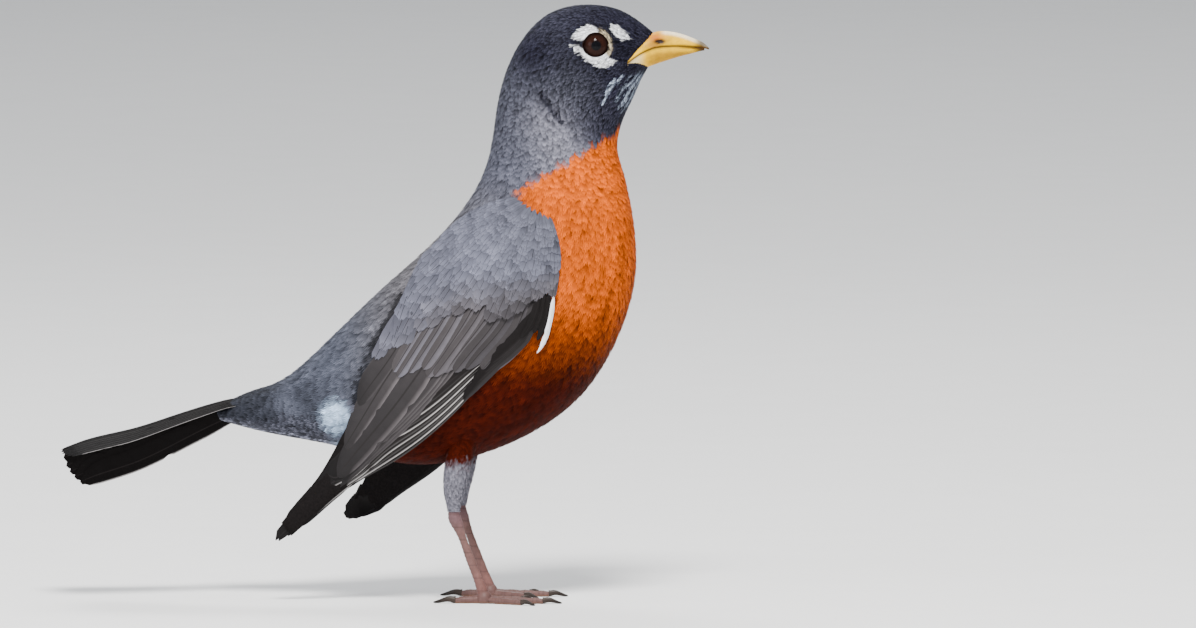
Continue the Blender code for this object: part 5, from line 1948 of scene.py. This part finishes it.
class RobinColours(bpy.types.PropertyGroup):
    """Colours of plumage and bare parts."""

    crown: colour_setting("Crown", "Black of the hood", (0.017, 0.017, 0.029))
    slate: colour_setting("Slate", "Grey of the neck and shoulders", (0.108, 0.112, 0.148))
    mantle: colour_setting("Mantle", "Grey-brown of the back", (0.117, 0.113, 0.125))
    breast: colour_setting("Breast", "Orange of the breast", (0.64, 0.100, 0.0005))
    # The belly's dark colour is painted shade of the underside.
    belly: colour_setting("Belly", "Rust of the belly and lower flanks", (0.038, 0.0036, 0.0004))
    white: colour_setting("White", "White of face marks and vent", (0.90, 0.91, 0.94))
    eye_ring: colour_setting("Eye ring", "Cream of the lids' front", (0.66, 0.55, 0.36))
    coverts: colour_setting(
        "Wing brown", "Brown-grey of coverts and tertials", (0.135, 0.120, 0.125)
    )
    flight: colour_setting("Flight feathers", "Dark of the quills", (0.017, 0.013, 0.013))
    quill_edge: colour_setting("Quill edge", "Pale outer edges of the quills", (0.62, 0.59, 0.58))
    tail: colour_setting("Tail", "Dark of the tail", (0.006, 0.005, 0.005))
    stocking: colour_setting("Thigh", "Grey of the thigh feathers", (0.20, 0.195, 0.235))
    bill: colour_setting("Bill", "Yellow of the bill", (0.74, 0.42, 0.0))
    iris: colour_setting("Iris", "Brown of the iris", (0.013, 0.0045, 0.003))
    leg: colour_setting("Leg", "Brown-pink of the tarsus and toes", (0.135, 0.070, 0.062))
    claw: colour_setting("Claw", "Dark horn of the claws", (0.034, 0.024, 0.019))


class RobinSizes(bpy.types.PropertyGroup):
    """Sizes of the coat, and the camera's place."""

    spacing: size_setting("Feather spacing", "Between feather roots on the trunk", 0.00125)
    wing_spacing: size_setting("Covert spacing", "Between the roots of small wing feathers", 0.0019)
    pupil: size_setting("Pupil", "Width of the pupil", 0.0032)
    view_distance: size_setting("View distance", "From the camera to the bird", 5.5)
    view_width: size_setting("View width", "What the camera takes in at the bird", 0.3947)
    view_turn: bpy.props.FloatProperty(
        name="View turn", description="Camera's turn ahead of side on", default=math.radians(4.0),
        unit="ROTATION",
    )
    view_rise: bpy.props.FloatProperty(
        name="View rise", description="Camera's height as an angle", default=math.radians(4.0),
        unit="ROTATION",
    )


# ---------------- operators and panel


def palette(context):
    """The colours that the user has set, each as an array."""
    colours = context.scene.robin_colours
    return SimpleNamespace(**{
        name: np.array(getattr(colours, name)) for name in colours.__annotations__
    })


class ROBIN_OT_skin(bpy.types.Operator):
    """One closed skin with eyelids"""

    bl_idname = "robin.skin"
    bl_label = "Skin"

    def execute(self, context):
        finish_piece(skin_piece(palette(context)), "slate_feathers", *FLESH)
        return {"FINISHED"}


class ROBIN_OT_coat(bpy.types.Operator):
    """Small feathers over the skin"""

    bl_idname = "robin.coat"
    bl_label = "Coat"

    def execute(self, context):
        body_coat(palette(context), context.scene.robin_sizes)
        return {"FINISHED"}


class ROBIN_OT_wings(bpy.types.Operator):
    """Both folded wings"""

    bl_idname = "robin.wings"
    bl_label = "Wings"

    def execute(self, context):
        for side, surface in (("right", wing_surface), ("left", left_wing_surface)):
            wing_piece(side, surface, palette(context), context.scene.robin_sizes)
        return {"FINISHED"}


class ROBIN_OT_tail(bpy.types.Operator):
    """Tail feathers"""

    bl_idname = "robin.tail"
    bl_label = "Tail"

    def execute(self, context):
        tail_piece(palette(context))
        return {"FINISHED"}


class ROBIN_OT_bill(bpy.types.Operator):
    """Both mandibles"""

    bl_idname = "robin.bill"
    bl_label = "Bill"

    def execute(self, context):
        bill_pieces(palette(context))
        return {"FINISHED"}


class ROBIN_OT_eyes(bpy.types.Operator):
    """Eyeballs"""

    bl_idname = "robin.eyes"
    bl_label = "Eyes"

    def execute(self, context):
        eye_pieces(palette(context), context.scene.robin_sizes)
        return {"FINISHED"}


class ROBIN_OT_legs(bpy.types.Operator):
    """Tarsi, feet and claws"""

    bl_idname = "robin.legs"
    bl_label = "Legs"

    def execute(self, context):
        leg_pieces(palette(context))
        return {"FINISHED"}


class ROBIN_OT_stage(bpy.types.Operator):
    """Floor, lights and camera"""

    bl_idname = "robin.stage"
    bl_label = "Stage"

    def execute(self, context):
        stage_pieces(context.scene.robin_sizes)
        return {"FINISHED"}


class ROBIN_PT_panel(bpy.types.Panel):
    """Colours, sizes and makers of the robin"""

    bl_idname = "ROBIN_PT_panel"
    bl_label = "American Robin"
    bl_space_type = "VIEW_3D"
    bl_region_type = "UI"
    bl_category = "Robin"

    def draw(self, context):
        for settings in (context.scene.robin_sizes, context.scene.robin_colours):
            box = self.layout.box()
            for name in settings.__annotations__:
                box.prop(settings, name)
        for maker in MAKERS:
            self.layout.operator(maker.bl_idname)


MAKERS = (
    ROBIN_OT_stage, ROBIN_OT_skin, ROBIN_OT_coat, ROBIN_OT_wings, ROBIN_OT_tail, ROBIN_OT_bill,
    ROBIN_OT_eyes, ROBIN_OT_legs,
)
CLASSES = (RobinColours, RobinSizes, *MAKERS, ROBIN_PT_panel)


def register():
    for made in CLASSES:
        bpy.utils.register_class(made)
    bpy.types.Scene.robin_colours = bpy.props.PointerProperty(type=RobinColours)
    bpy.types.Scene.robin_sizes = bpy.props.PointerProperty(type=RobinSizes)


def unregister():
    del bpy.types.Scene.robin_sizes
    del bpy.types.Scene.robin_colours
    for made in reversed(CLASSES):
        bpy.utils.unregister_class(made)


def main():
    """Registers the add-on and makes every piece."""
    register()
    for maker in MAKERS:
        family, call = maker.bl_idname.split(".")
        getattr(getattr(bpy.ops, family), call)()


if __name__ == "__main__":
    main()
